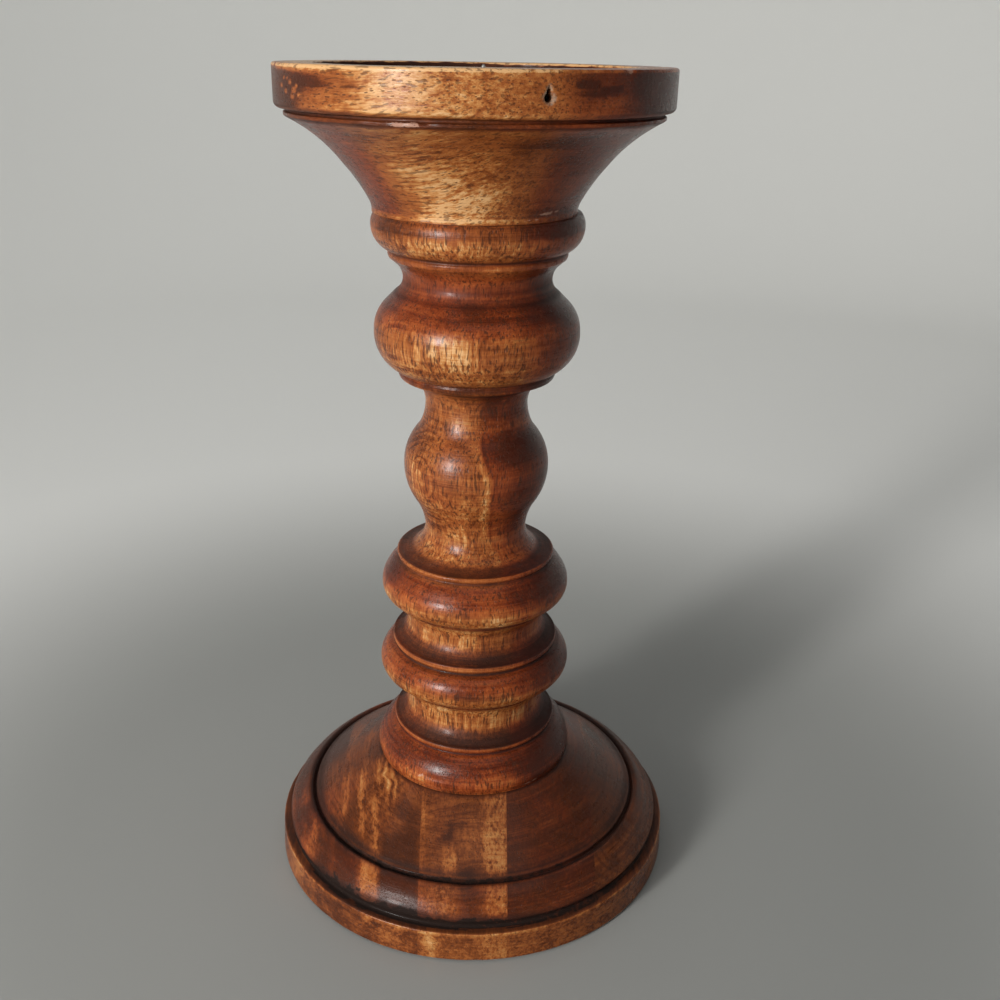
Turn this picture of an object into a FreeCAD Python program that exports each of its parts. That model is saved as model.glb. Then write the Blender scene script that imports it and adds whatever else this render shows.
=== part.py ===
import FreeCAD, Part
import math
import os
import Sketcher

# Turned hardwood pricket candle stand.
# Millimetres, +Z up, origin on the floor at the middle of the felt pad.
# Five glued boards make the base block, a single spindle makes the stem, and a
# single block with its grain lying level makes the cup. The stem has a round
# tenon at each end. A screw from below holds the base, and a steel spike with
# its head trapped under the cup floor holds the candle.

doc = FreeCAD.newDocument("CandleStand")

sheet = doc.addObject("Spreadsheet::Sheet", "Sizes")
sheet.Label = "Sizes"
_row = [0]


def size(alias, value, note=""):
    """One driving dimension: note, plain number and alias in a row of the sheet."""
    _row[0] += 1
    n = _row[0]
    sheet.set("A%d" % n, note or alias.replace("_", " "))
    sheet.set("B%d" % n, repr(round(float(value), 4)))
    sheet.setAlias("B%d" % n, alias)


# ---------------------------------------------------------------------------
# Driving sizes
# ---------------------------------------------------------------------------
size("felt_thick", 1.6, "felt pad thickness")
size("felt_radius", 55.6, "felt pad radius")
size("felt_pocket_radius", 56.0, "shallow recess under the base for the felt")
size("wood_foot", 0.6, "height of the wooden rim of the base above the floor")

size("glue_plane_far_left", -42.0, "glue line between boards 1 and 2, along X")
size("glue_plane_left", -15.7, "glue line between boards 2 and 3, along X")
size("glue_plane_right", 10.1, "glue line between boards 3 and 4, along X")
size("glue_plane_far_right", 36.5, "glue line between boards 4 and 5, along X")
size("blank_half", 70.0, "half width of the base blank before turning")
size("blank_height", 40.0, "height of the base blank before turning")

size("shoulder_low", 33.8, "height of the joint between base and stem")
size("shoulder_high", 203.0, "height of the joint between stem and cup")
size("tenon_low_radius", 12.0, "lower tenon radius")
size("tenon_low_end", 12.4, "height of the lower end of the lower tenon")
size("tenon_high_radius", 10.0, "upper tenon radius")
size("tenon_high_end", 218.8, "height of the top of the upper tenon")
size("tenon_bevel", 1.0, "bevel on both tenon ends")
size("mortise_low_floor", 12.0, "height of the floor of the mortise in the base")
size("mortise_high_depth", 16.4, "depth of the mortise in the cup")

size("screw_clear_radius", 2.3, "screw hole through the base")
size("screw_radius", 2.25, "screw shank radius")
size("screw_head_radius", 4.6, "screw head radius")
size("screw_head_low", 2.0, "underside of the screw head")
size("screw_head_high", 4.8, "bearing face of the screw head")
size("screw_shank_end", 41.0, "height where the screw point begins")
size("screw_tip", 46.0, "height of the screw point")
size("driver_slot_width", 1.1, "width of each arm of the cross slot")
size("driver_slot_length", 5.0, "length of each arm of the cross slot")
size("driver_slot_depth", 1.5, "depth of the cross slot")
size("counterbore_radius", 8.0, "counterbore under the base")
size("counterbore_top", 6.0, "height of the counterbore's bearing face")
size("washer_outer_radius", 7.0, "washer outer radius")
size("washer_inner_radius", 2.6, "washer hole radius")
size("washer_thick", 1.2, "washer thickness")

size("cup_offset", -0.9, "cup axis to the side of the stem axis, along X")
size("seat_height", 229.0, "height of the recess floor that the candle stands on")
size("seat_radius", 41.5, "radius of the candle recess")
size("rim_height", 240.0, "height of the rim")
size("rim_radius", 52.25, "radius of the rim band")
size("rim_round_outer", 0.85, "rounding of the rim's outer edge")
size("rim_round_inner", 0.7, "rounding of the rim's inner edge")

size("spike_offset", 1.0, "spike axis to the side of the stem axis, along X")
size("spike_radius", 1.8, "spike shank radius above the recess floor")
size("spike_root_radius", 2.0, "spike radius inside the wood, up to the recess floor")
size("spike_taper_start", 235.0, "height where the point begins")
size("spike_point_radius", 0.35, "radius at the blunted point")
size("spike_tip", 239.9, "height of the spike's tip")
size("spike_head_radius", 3.4, "radius of the flat head under the cup floor")
size("spike_head_low", 219.5, "underside of the spike's head")
size("spike_head_thick", 1.3, "thickness of the spike's head")
size("spike_head_pocket_radius", 3.6, "radius of the pocket for the spike's head")
size("spike_head_pocket_depth", 1.4, "depth of the pocket for the spike's head")

# Turned outlines, from the bottom up: (radius, height, arc). An arc of 0 is a
# straight cut to this point, a positive one is a bead of that radius and a
# negative one a hollow of that radius.
BASE = [
    (62.6, 0.6, 0), (62.95, 1.0, 0), (62.6, 9.4, 0), (62.1, 10.0, 0),
    (60.4, 10.1, 0), (59.4, 10.7, 0), (59.6, 11.7, 0), (60.3, 12.6, 0),
    (58.7, 15.8, 6.0), (54.4, 19.7, 14.0), (52.7, 19.7, 1.5), (52.1, 18.9, 0),
    (51.7, 18.9, 0), (51.7, 19.9, 0), (51.2, 20.4, 0), (30.3, 33.8, 140.0),
]
STEM = [
    (30.3, 33.8, 0), (30.3, 34.2, 0), (30.5, 37.9, 4.2), (26.2, 44.2, 10.0),
    (25.2, 44.6, 0), (25.1, 45.2, -0.4), (25.45, 46.2, 0.8), (25.1, 47.0, 0.7),
    (24.4, 47.1, 0), (21.2, 53.0, -6.5), (21.2, 55.2, 0), (24.2, 59.6, -5.6),
    (24.9, 61.4, 0), (26.6, 61.9, 0), (29.5, 66.6, 5.2), (26.6, 72.0, 6.6),
    (25.2, 72.4, 0), (25.0, 73.2, -0.5), (25.4, 74.4, 0.8), (25.1, 75.3, 0.6),
    (24.3, 75.4, 0), (20.8, 80.4, -5.6), (20.8, 82.0, 0), (23.5, 86.2, -5.2),
    (24.2, 88.1, 0), (26.3, 88.6, 0), (28.5, 93.0, 5.0), (27.0, 97.4, 7.2),
    (24.2, 100.9, 12.0), (23.7, 101.2, 0), (23.55, 101.9, -0.4), (23.9, 102.7, 0.8),
    (23.3, 103.4, 0.6), (22.4, 103.5, 0), (15.2, 111.4, -8.0), (17.8, 119.4, -20.0),
    (21.35, 130.6, 19.0), (17.0, 142.0, 16.5), (15.0, 148.2, -14.0), (15.3, 152.2, -9.0),
    (19.0, 156.0, -5.5), (21.5, 156.9, 0), (22.5, 158.3, 1.5), (22.4, 159.2, 0.6),
    (23.0, 159.6, -0.4), (29.1, 170.7, 11.6), (25.5, 178.8, 10.8), (23.2, 181.1, 0),
    (20.9, 184.6, -4.8), (22.8, 189.2, -5.6), (24.2, 190.4, 0), (24.9, 191.4, 1.2),
    (24.7, 192.4, 0.7), (25.4, 193.0, -0.5), (29.35, 199.6, 7.4), (28.3, 203.0, 5.2),
]
CUP = [
    (28.0, 203.0, 0), (28.0, 204.2, 0), (28.4, 205.5, 0), (35.1, 215.2, -46.0),
    (49.4, 226.9, -43.0), (49.95, 227.3, 0), (49.95, 228.2, 0), (49.3, 228.5, 0),
    (49.3, 228.9, 0), (50.6, 229.0, 0), (52.25, 230.7, 1.7),
]


def outline_sizes(prefix, points):
    for i, (r, z, bend) in enumerate(points):
        size("%s_rad_%02d" % (prefix, i), r, "%s outline, point %d, radius" % (prefix, i))
        size("%s_hgt_%02d" % (prefix, i), z, "%s outline, point %d, height" % (prefix, i))
        if bend:
            size("%s_arc_%02d" % (prefix, i), abs(bend), "%s outline, arc up to point %d" % (prefix, i))


outline_sizes("base", BASE)
outline_sizes("stem", STEM)
outline_sizes("cup", CUP)
doc.recompute()


# ---------------------------------------------------------------------------
# Helpers
# ---------------------------------------------------------------------------
def number(alias):
    return float(sheet.get(alias))


def plane_of(body, role):
    for feature in body.Origin.OriginFeatures:
        if feature.Role == role:
            return feature
    raise RuntimeError("no plane " + role)


def new_body(name, label):
    body = doc.addObject("PartDesign::Body", name)
    body.Label = label
    return body


def new_sketch(body, name, role="XZ_Plane", height=None):
    sketch = body.newObject("Sketcher::SketchObject", name)
    sketch.AttachmentSupport = [(plane_of(body, role), "")]
    sketch.MapMode = "FlatFace"
    if height is not None:
        sketch.setExpression("AttachmentOffset.Base.z", height)
    return sketch


def vec(x, y):
    return FreeCAD.Vector(x, y, 0)


def arc_between(p0, p1, bend):
    """Minor arc from p0 to p1; material lies to the left of the direction of travel."""
    dx, dy = p1[0] - p0[0], p1[1] - p0[1]
    chord = math.hypot(dx, dy)
    nx, ny = -dy / chord, dx / chord
    side = 1.0 if bend > 0 else -1.0
    radius = abs(bend)
    drop = math.sqrt(max(radius * radius - chord * chord / 4.0, 0.0))
    mx, my = (p0[0] + p1[0]) / 2.0, (p0[1] + p1[1]) / 2.0
    cx, cy = mx + side * nx * drop, my + side * ny * drop
    # the crown of the arc is on the far side of the chord from its centre
    ux, uy = -side * nx, -side * ny
    return Part.Arc(vec(*p0), vec(cx + ux * radius, cy + uy * radius), vec(*p1))


def closed_outline(sketch, points):
    """Closed loop through points [(x, y, bend, x alias, y alias, arc alias)].

    Every corner is held to the axes by its two distances, each tied to its
    cell of the sheet, and every arc by its radius. An alias of None puts the
    corner on the axis instead.
    """
    count = len(points)
    geometry = []
    for i in range(count):
        a, b = points[i], points[(i + 1) % count]
        if b[2]:
            geometry.append(arc_between((a[0], a[1]), (b[0], b[1]), b[2]))
        else:
            geometry.append(Part.LineSegment(vec(a[0], a[1]), vec(b[0], b[1])))
    ids = sketch.addGeometry(geometry, False)
    ends = []
    for g in ids:
        shape = sketch.Geometry[g]
        if hasattr(shape, "Radius"):
            start = sketch.getPoint(g, 1)
            i = ids.index(g)
            want = vec(points[i][0], points[i][1])
            ends.append((1, 2) if (start - want).Length < 1e-6 else (2, 1))
        else:
            ends.append((1, 2))
    joins = []
    for i in range(count):
        j = (i + 1) % count
        joins.append(Sketcher.Constraint("Coincident", ids[i], ends[i][1], ids[j], ends[j][0]))
    sketch.addConstraint(joins)
    bound = []
    for i in range(count):
        x, y, bend, x_alias, y_alias, arc_alias = points[i]
        if x_alias is None:
            sketch.addConstraint(Sketcher.Constraint("PointOnObject", ids[i], ends[i][0], -2))
        else:
            k = sketch.addConstraint(Sketcher.Constraint("DistanceX", -1, 1, ids[i], ends[i][0], x))
            bound.append((k, x_alias))
        k = sketch.addConstraint(Sketcher.Constraint("DistanceY", -1, 1, ids[i], ends[i][0], y))
        bound.append((k, y_alias))
        if bend:
            g = ids[(i - 1) % count]
            k = sketch.addConstraint(Sketcher.Constraint("Radius", g, abs(bend)))
            bound.append((k, arc_alias))
    for k, alias in bound:
        sketch.setExpression("Constraints[%d]" % k, "Sizes." + alias)


def rows(prefix, points, skip_first_arc=True):
    out = []
    for i, (r, z, bend) in enumerate(points):
        if i == 0 and skip_first_arc:
            bend = 0
        out.append((r, z, bend, "%s_rad_%02d" % (prefix, i), "%s_hgt_%02d" % (prefix, i),
                    "%s_arc_%02d" % (prefix, i)))
    return out


def corner(x_alias, y_alias, dx=0.0):
    """A plain corner named by two cells; x_alias None means on the axis."""
    x = 0.0 if x_alias is None else number(x_alias)
    return (x, number(y_alias), 0, x_alias, y_alias, None)


def circle_sketch(sketch, radius_alias, x=0.0, x_expression=None):
    g = sketch.addGeometry(Part.Circle(vec(x, 0), FreeCAD.Vector(0, 0, 1), number(radius_alias)), False)
    k = sketch.addConstraint(Sketcher.Constraint("Radius", g, number(radius_alias)))
    sketch.setExpression("Constraints[%d]" % k, "Sizes." + radius_alias)
    if x_expression is None:
        sketch.addConstraint(Sketcher.Constraint("Coincident", g, 3, -1, 1))
    else:
        sketch.addConstraint(Sketcher.Constraint("PointOnObject", g, 3, -1))
        k = sketch.addConstraint(Sketcher.Constraint("DistanceX", -1, 1, g, 3, x))
        sketch.setExpression("Constraints[%d]" % k, x_expression)


def revolve(body, sketch, name):
    turned = body.newObject("PartDesign::Revolution", name)
    turned.Profile = sketch
    turned.ReferenceAxis = (sketch, ["V_Axis"])
    turned.Angle = 360.0
    sketch.Visibility = False
    doc.recompute()
    return turned


def groove(body, sketch, name):
    before = body.Shape.Volume
    cut = body.newObject("PartDesign::Groove", name)
    cut.Profile = sketch
    cut.ReferenceAxis = (sketch, ["V_Axis"])
    cut.Angle = 360.0
    sketch.Visibility = False
    doc.recompute()
    if not body.Shape.Volume < before - 1.0:
        raise RuntimeError(name + " removed nothing")
    return cut


def pocket(body, sketch, name, length, reverse):
    before = body.Shape.Volume
    cut = body.newObject("PartDesign::Pocket", name)
    cut.Profile = sketch
    cut.Type = 0
    cut.setExpression("Length", length)
    cut.Reversed = reverse
    sketch.Visibility = False
    doc.recompute()
    if not body.Shape.Volume < before - 0.5:
        raise RuntimeError(name + " removed nothing")
    return cut


def round_edge(body, name, radius_alias, edge_radius, edge_height):
    """Fillet the circular edge that lies at the given radius and height."""
    base = body.Tip
    found = []
    for i, edge in enumerate(base.Shape.Edges):
        curve = edge.Curve
        if isinstance(curve, Part.Circle) and abs(curve.Radius - edge_radius) < 1e-3 \
                and abs(edge.CenterOfMass.z - edge_height) < 1e-3:
            found.append("Edge%d" % (i + 1))
    if not found:
        raise RuntimeError("no edge for " + name)
    fillet = body.newObject("PartDesign::Fillet", name)
    fillet.Base = (base, found)
    fillet.setExpression("Radius", "Sizes." + radius_alias)
    doc.recompute()
    return fillet


# ---------------------------------------------------------------------------
# Base: one turned block, glued up from five boards that run front to back
# ---------------------------------------------------------------------------
blank = new_body("BaseBlank", "base_blank")
outline = new_sketch(blank, "BaseOutline")
closed_outline(outline, [corner(None, "felt_thick"), corner("felt_pocket_radius", "felt_thick"),
                         corner("felt_pocket_radius", "wood_foot")]
               + rows("base", BASE) + [corner(None, "shoulder_low")])
revolve(blank, outline, "BaseTurning")

bores = new_sketch(blank, "BaseBores")
closed_outline(bores, [corner(None, "felt_thick"), corner("counterbore_radius", "felt_thick"),
                       corner("counterbore_radius", "counterbore_top"),
                       corner("screw_clear_radius", "counterbore_top"),
                       corner("screw_clear_radius", "mortise_low_floor"),
                       corner("tenon_low_radius", "mortise_low_floor"),
                       corner("tenon_low_radius", "shoulder_low"),
                       corner(None, "shoulder_low")])
groove(blank, bores, "BaseMortise")

board_ends = [None, "glue_plane_far_left", "glue_plane_left", "glue_plane_right",
              "glue_plane_far_right", None]
boards = []
for k in range(5):
    low, high = board_ends[k], board_ends[k + 1]
    low_text = "(-Sizes.blank_half)" if low is None else "Sizes." + low
    high_text = "Sizes.blank_half" if high is None else "Sizes." + high
    plank = doc.addObject("Part::Box", "Plank%d" % (k + 1))
    plank.Label = "plank_%d" % (k + 1)
    plank.setExpression("Length", "%s - %s" % (high_text, low_text))
    plank.setExpression("Width", "2 * Sizes.blank_half")
    plank.setExpression("Height", "Sizes.blank_height")
    plank.setExpression("Placement.Base.x", low_text)
    plank.setExpression("Placement.Base.y", "-Sizes.blank_half")
    board = doc.addObject("Part::Common", "BaseBoard%d" % (k + 1))
    board.Label = "base_board_%d" % (k + 1)
    board.Base = blank
    board.Tool = plank
    board.Placement = FreeCAD.Placement()
    boards.append(board)
doc.recompute()

# ---------------------------------------------------------------------------
# Stem: one spindle with both tenons turned on it, pilot hole for the screw
# ---------------------------------------------------------------------------
stem = new_body("Stem", "stem_spindle")
outline = new_sketch(stem, "StemOutline")
closed_outline(outline, [corner(None, "tenon_low_end"), corner("tenon_low_radius", "tenon_low_end"),
                         corner("tenon_low_radius", "shoulder_low")]
               + rows("stem", STEM)
               + [corner("tenon_high_radius", "shoulder_high"),
                  corner("tenon_high_radius", "tenon_high_end"),
                  corner(None, "tenon_high_end")])
revolve(stem, outline, "StemTurning")

pilot = new_sketch(stem, "StemPilot")
closed_outline(pilot, [corner(None, "tenon_low_end"), corner("screw_radius", "tenon_low_end"),
                       corner("screw_radius", "screw_shank_end"), corner(None, "screw_tip")])
groove(stem, pilot, "StemPilotHole")

for edge_name, edge_height in (("StemTenonBevelLow", "tenon_low_end"), ("StemTenonBevelHigh", "tenon_high_end")):
    tip = stem.Tip
    edge_radius = number("tenon_low_radius" if edge_height == "tenon_low_end" else "tenon_high_radius")
    picked = ["Edge%d" % (i + 1) for i, edge in enumerate(tip.Shape.Edges)
              if isinstance(edge.Curve, Part.Circle) and abs(edge.Curve.Radius - edge_radius) < 1e-3
              and abs(edge.CenterOfMass.z - number(edge_height)) < 1e-3]
    bevel = stem.newObject("PartDesign::Chamfer", edge_name)
    bevel.Base = (tip, picked)
    bevel.setExpression("Size", "Sizes.tenon_bevel")
    doc.recompute()

# ---------------------------------------------------------------------------
# Cup: one block, turned outside, recessed for the candle, bored for the stem
# ---------------------------------------------------------------------------
cup = new_body("Cup", "cup")
outline = new_sketch(cup, "CupOutline")
closed_outline(outline, [corner(None, "shoulder_high")] + rows("cup", CUP)
               + [corner("rim_radius", "rim_height"), corner("seat_radius", "rim_height"),
                  corner("seat_radius", "seat_height"), corner(None, "seat_height")])
revolve(cup, outline, "CupTurning")
round_edge(cup, "CupRimRoundOuter", "rim_round_outer", number("rim_radius"), number("rim_height"))
round_edge(cup, "CupRimRoundInner", "rim_round_inner", number("seat_radius"), number("rim_height"))

mouth = new_sketch(cup, "CupMortiseCircle", "XY_Plane", "Sizes.shoulder_high")
circle_sketch(mouth, "tenon_high_radius", -number("cup_offset"), "-Sizes.cup_offset")
pocket(cup, mouth, "CupMortise", "Sizes.mortise_high_depth", True)

seat = new_sketch(cup, "CupSpikeCircle", "XY_Plane", "Sizes.seat_height")
spike_shift = number("spike_offset") - number("cup_offset")
circle_sketch(seat, "spike_root_radius", spike_shift, "Sizes.spike_offset - Sizes.cup_offset")
pocket(cup, seat, "CupSpikeHole",
       "Sizes.seat_height - Sizes.shoulder_high - Sizes.mortise_high_depth", False)

trap = new_sketch(cup, "CupSpikeHeadCircle", "XY_Plane", "Sizes.shoulder_high + Sizes.mortise_high_depth")
circle_sketch(trap, "spike_head_pocket_radius", spike_shift, "Sizes.spike_offset - Sizes.cup_offset")
pocket(cup, trap, "CupSpikeHeadPocket", "Sizes.spike_head_pocket_depth", True)
cup.setExpression("Placement.Base.x", "Sizes.cup_offset")

# ---------------------------------------------------------------------------
# Pricket spike, driven in from below: flat head, root as deep as the wood is
# thick, a slightly thinner shank above the floor, blunted point level with the rim
# ---------------------------------------------------------------------------
spike = new_body("Spike", "pricket_spike")
outline = new_sketch(spike, "SpikeOutline")
head_top = number("spike_head_low") + number("spike_head_thick")
size("spike_head_high", head_top, "bearing face of the spike's head")
doc.recompute()
closed_outline(outline, [corner(None, "spike_head_low"), corner("spike_head_radius", "spike_head_low"),
                         corner("spike_head_radius", "spike_head_high"),
                         corner("spike_root_radius", "spike_head_high"),
                         corner("spike_root_radius", "seat_height"),
                         corner("spike_radius", "seat_height"),
                         corner("spike_radius", "spike_taper_start"),
                         corner("spike_point_radius", "spike_tip"), corner(None, "spike_tip")])
revolve(spike, outline, "SpikeTurning")
spike.setExpression("Placement.Base.x", "Sizes.spike_offset")

# ---------------------------------------------------------------------------
# Screw from below, its washer, and the felt pad that covers them
# ---------------------------------------------------------------------------
screw = new_body("StemScrew", "stem_screw")
outline = new_sketch(screw, "ScrewOutline")
closed_outline(outline, [corner(None, "screw_head_low"), corner("screw_head_radius", "screw_head_low"),
                         corner("screw_head_radius", "screw_head_high"),
                         corner("screw_radius", "screw_head_high"),
                         corner("screw_radius", "screw_shank_end"), corner(None, "screw_tip")])
revolve(screw, outline, "ScrewTurning")
slot = new_sketch(screw, "ScrewSlot", "XY_Plane", "Sizes.screw_head_low")
half_w, half_l = number("driver_slot_width") / 2.0, number("driver_slot_length") / 2.0
cross = [(half_w, half_w), (half_l, half_w), (half_l, -half_w), (half_w, -half_w),
         (half_w, -half_l), (-half_w, -half_l), (-half_w, -half_w), (-half_l, -half_w),
         (-half_l, half_w), (-half_w, half_w), (-half_w, half_l), (half_w, half_l)]
ids = slot.addGeometry([Part.LineSegment(vec(*cross[i]), vec(*cross[(i + 1) % 12])) for i in range(12)], False)
slot.addConstraint([Sketcher.Constraint("Coincident", ids[i], 2, ids[(i + 1) % 12], 1) for i in range(12)])
for i, (x, y) in enumerate(cross):
    for kind, value in (("DistanceX", x), ("DistanceY", y)):
        arm = "driver_slot_width" if abs(abs(value) - half_w) < 1e-6 else "driver_slot_length"
        if value > 0:
            k = slot.addConstraint(Sketcher.Constraint(kind, -1, 1, ids[i], 1, value))
        else:
            k = slot.addConstraint(Sketcher.Constraint(kind, ids[i], 1, -1, 1, -value))
        slot.setExpression("Constraints[%d]" % k, "Sizes.%s / 2" % arm)
pocket(screw, slot, "ScrewDriverSlot", "Sizes.driver_slot_depth", True)

disc = doc.addObject("Part::Cylinder", "WasherDisc")
disc.Label = "washer_disc"
disc.setExpression("Radius", "Sizes.washer_outer_radius")
disc.setExpression("Height", "Sizes.washer_thick")
eye = doc.addObject("Part::Cylinder", "WasherEye")
eye.Label = "washer_eye"
eye.setExpression("Radius", "Sizes.washer_inner_radius")
eye.setExpression("Height", "Sizes.washer_thick")
washer = doc.addObject("Part::Cut", "Washer")
washer.Label = "stem_washer"
washer.Base = disc
washer.Tool = eye
washer.setExpression("Placement.Base.z", "Sizes.counterbore_top - Sizes.washer_thick")

felt = doc.addObject("Part::Cylinder", "Felt")
felt.Label = "felt_pad"
felt.setExpression("Radius", "Sizes.felt_radius")
felt.setExpression("Height", "Sizes.felt_thick")
felt.Placement = FreeCAD.Placement()

doc.recompute()

# ---------------------------------------------------------------------------
# Check every object, then write one file for each piece
# ---------------------------------------------------------------------------
for obj in doc.Objects:
    if "Invalid" in obj.State or "Error" in obj.State:
        raise RuntimeError("%s is in state %s" % (obj.Name, obj.State))

pieces = boards + [stem, cup, spike, screw, washer, felt]
for piece in pieces:
    shape = piece.Shape
    if shape.isNull() or not shape.isValid() or len(shape.Solids) != 1:
        raise RuntimeError(piece.Label + " is not one valid solid")

os.makedirs("parts", exist_ok=True)
for piece in pieces:
    piece.Shape.exportStep("parts/%s.step" % piece.Label)
    box = piece.Shape.BoundBox
    print("%-16s volume %10.1f mm3   x %.2f..%.2f  y %.2f..%.2f  z %.2f..%.2f" % (
        piece.Label, piece.Shape.Volume, box.XMin, box.XMax, box.YMin, box.YMax, box.ZMin, box.ZMax))
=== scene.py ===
import math

import bmesh
import bpy
import numpy as np
from mathutils import Matrix, Vector


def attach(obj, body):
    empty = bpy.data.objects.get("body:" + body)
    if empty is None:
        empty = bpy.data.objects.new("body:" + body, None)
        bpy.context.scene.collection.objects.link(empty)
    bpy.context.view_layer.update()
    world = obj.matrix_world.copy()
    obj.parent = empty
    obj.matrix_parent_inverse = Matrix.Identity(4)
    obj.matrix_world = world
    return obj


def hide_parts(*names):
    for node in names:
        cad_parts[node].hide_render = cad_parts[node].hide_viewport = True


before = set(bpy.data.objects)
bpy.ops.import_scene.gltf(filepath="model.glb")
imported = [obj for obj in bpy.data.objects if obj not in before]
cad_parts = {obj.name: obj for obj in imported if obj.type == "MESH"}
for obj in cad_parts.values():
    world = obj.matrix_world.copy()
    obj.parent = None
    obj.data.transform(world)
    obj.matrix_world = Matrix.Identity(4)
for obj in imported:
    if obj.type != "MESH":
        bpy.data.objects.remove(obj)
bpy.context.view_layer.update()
MM = 0.001

# ---------------------------------------------------------------------------
# Turned outlines, the same as the part's: (radius, height, arc) in millimetres,
# bottom to top. Arc 0 is a straight cut, + a bead of that radius, - a hollow.
# ---------------------------------------------------------------------------
BASE = [
    (62.6, 0.6, 0), (62.95, 1.0, 0.4), (62.6, 9.4, 0), (62.1, 10.0, 0.6),
    (60.4, 10.1, 0), (59.4, 10.7, -0.8), (59.6, 11.7, 0), (60.3, 12.6, 0.9),
    (58.7, 15.8, 6.0), (54.4, 19.7, 14.0), (52.7, 19.7, 1.5), (52.1, 18.9, 0),
    (51.7, 18.9, -0.3), (51.7, 19.9, 0), (51.2, 20.4, 0.5), (30.3, 33.8, 140.0),
]
STEM = [
    (30.3, 33.8, 0), (30.3, 34.2, 0), (30.5, 37.9, 4.2), (26.2, 44.2, 10.0),
    (25.2, 44.6, 0), (25.1, 45.2, -0.4), (25.45, 46.2, 0.8), (25.1, 47.0, 0.7),
    (24.4, 47.1, 0), (21.2, 53.0, -6.5), (21.2, 55.2, 0), (24.2, 59.6, -5.6),
    (24.9, 61.4, 0), (26.6, 61.9, 0), (29.5, 66.6, 5.2), (26.6, 72.0, 6.6),
    (25.2, 72.4, 0), (25.0, 73.2, -0.5), (25.4, 74.4, 0.8), (25.1, 75.3, 0.6),
    (24.3, 75.4, 0), (20.8, 80.4, -5.6), (20.8, 82.0, 0), (23.5, 86.2, -5.2),
    (24.2, 88.1, 0), (26.3, 88.6, 0), (28.5, 93.0, 5.0), (27.0, 97.4, 7.2),
    (24.2, 100.9, 12.0), (23.7, 101.2, 0), (23.55, 101.9, -0.4), (23.9, 102.7, 0.8),
    (23.3, 103.4, 0.6), (22.4, 103.5, 0), (15.2, 111.4, -8.0), (17.8, 119.4, -20.0),
    (21.35, 130.6, 19.0), (17.0, 142.0, 16.5), (15.0, 148.2, -14.0), (15.3, 152.2, -9.0),
    (19.0, 156.0, -5.5), (21.5, 156.9, 0), (22.5, 158.3, 1.5), (22.4, 159.2, 0.6),
    (23.0, 159.6, -0.4), (29.1, 170.7, 11.6), (25.5, 178.8, 10.8), (23.2, 181.1, 0),
    (20.9, 184.6, -4.8), (22.8, 189.2, -5.6), (24.2, 190.4, 0), (24.9, 191.4, 1.2),
    (24.7, 192.4, 0.7), (25.4, 193.0, -0.5), (29.35, 199.6, 7.4), (28.3, 203.0, 5.2),
]
CUP = [
    (28.0, 203.0, 0), (28.0, 204.2, 0), (28.4, 205.5, 0), (35.1, 215.2, -46.0),
    (49.4, 226.9, -43.0), (49.95, 227.3, 0), (49.95, 228.2, 0), (49.3, 228.5, 0),
    (49.3, 228.9, 0), (50.6, 229.0, 0), (52.25, 230.7, 1.7),
    (52.25, 239.15, 0), (51.4, 240.0, 0.85), (42.2, 240.0, 0), (41.5, 239.3, 0.7),
    (41.5, 229.0, 0),
]
GLUE_X = [-42.0, -15.7, 10.1, 36.5]
CUP_X, SPIKE_X = -0.9, 1.0


def trace(rows, step=0.08):
    """Dense (r, z) points along an outline."""
    pts = [(rows[0][0], rows[0][1])]
    for (r0, z0, _), (r1, z1, bend) in zip(rows, rows[1:]):
        dx, dy = r1 - r0, z1 - z0
        chord = math.hypot(dx, dy)
        if not bend:
            n = max(1, int(chord / step))
            pts += [(r0 + dx * k / n, z0 + dy * k / n) for k in range(1, n + 1)]
            continue
        radius, side = abs(bend), (1 if bend > 0 else -1)
        drop = math.sqrt(max(radius * radius - chord * chord / 4, 0))
        cx = (r0 + r1) / 2 - side * dy / chord * drop
        cy = (z0 + z1) / 2 + side * dx / chord * drop
        a0 = math.atan2(z0 - cy, r0 - cx)
        turn = (math.atan2(z1 - cy, r1 - cx) - a0 + math.pi) % (2 * math.pi) - math.pi
        n = max(2, int(radius * abs(turn) / step))
        pts += [(cx + radius * math.cos(a0 + turn * k / n), cy + radius * math.sin(a0 + turn * k / n))
                for k in range(1, n + 1)]
    return np.array(pts)


def even(pts, step):
    """The same line with evenly spaced points, and the distance along it."""
    gaps = np.hypot(*np.diff(pts, axis=0).T)
    along = np.concatenate([[0], np.cumsum(gaps)])
    keep = np.concatenate([[True], gaps > 1e-9])
    along, pts = along[keep], pts[keep]
    n = max(2, int(along[-1] / step))
    s = np.linspace(0, along[-1], n + 1)
    return np.column_stack([np.interp(s, along, pts[:, k]) for k in range(pts.shape[1])]), s


def blur(a, width):
    """Gaussian blur along the first axis with the ends held."""
    half = int(width * 3.5) + 1
    k = np.exp(-0.5 * (np.arange(-half, half + 1) / width) ** 2)
    k /= k.sum()
    a = np.asarray(a, float)
    flat = a.reshape(len(a), -1)
    # reflected about the end points, so that the ends stay where they are
    low = 2 * flat[0] - flat[1:half + 1][::-1]
    high = 2 * flat[-1] - flat[-half - 1:-1][::-1]
    padded = np.vstack([low, flat, high])
    out = np.column_stack([np.convolve(padded[:, c], k, mode="valid") for c in range(flat.shape[1])])
    return out.reshape(a.shape)


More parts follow.
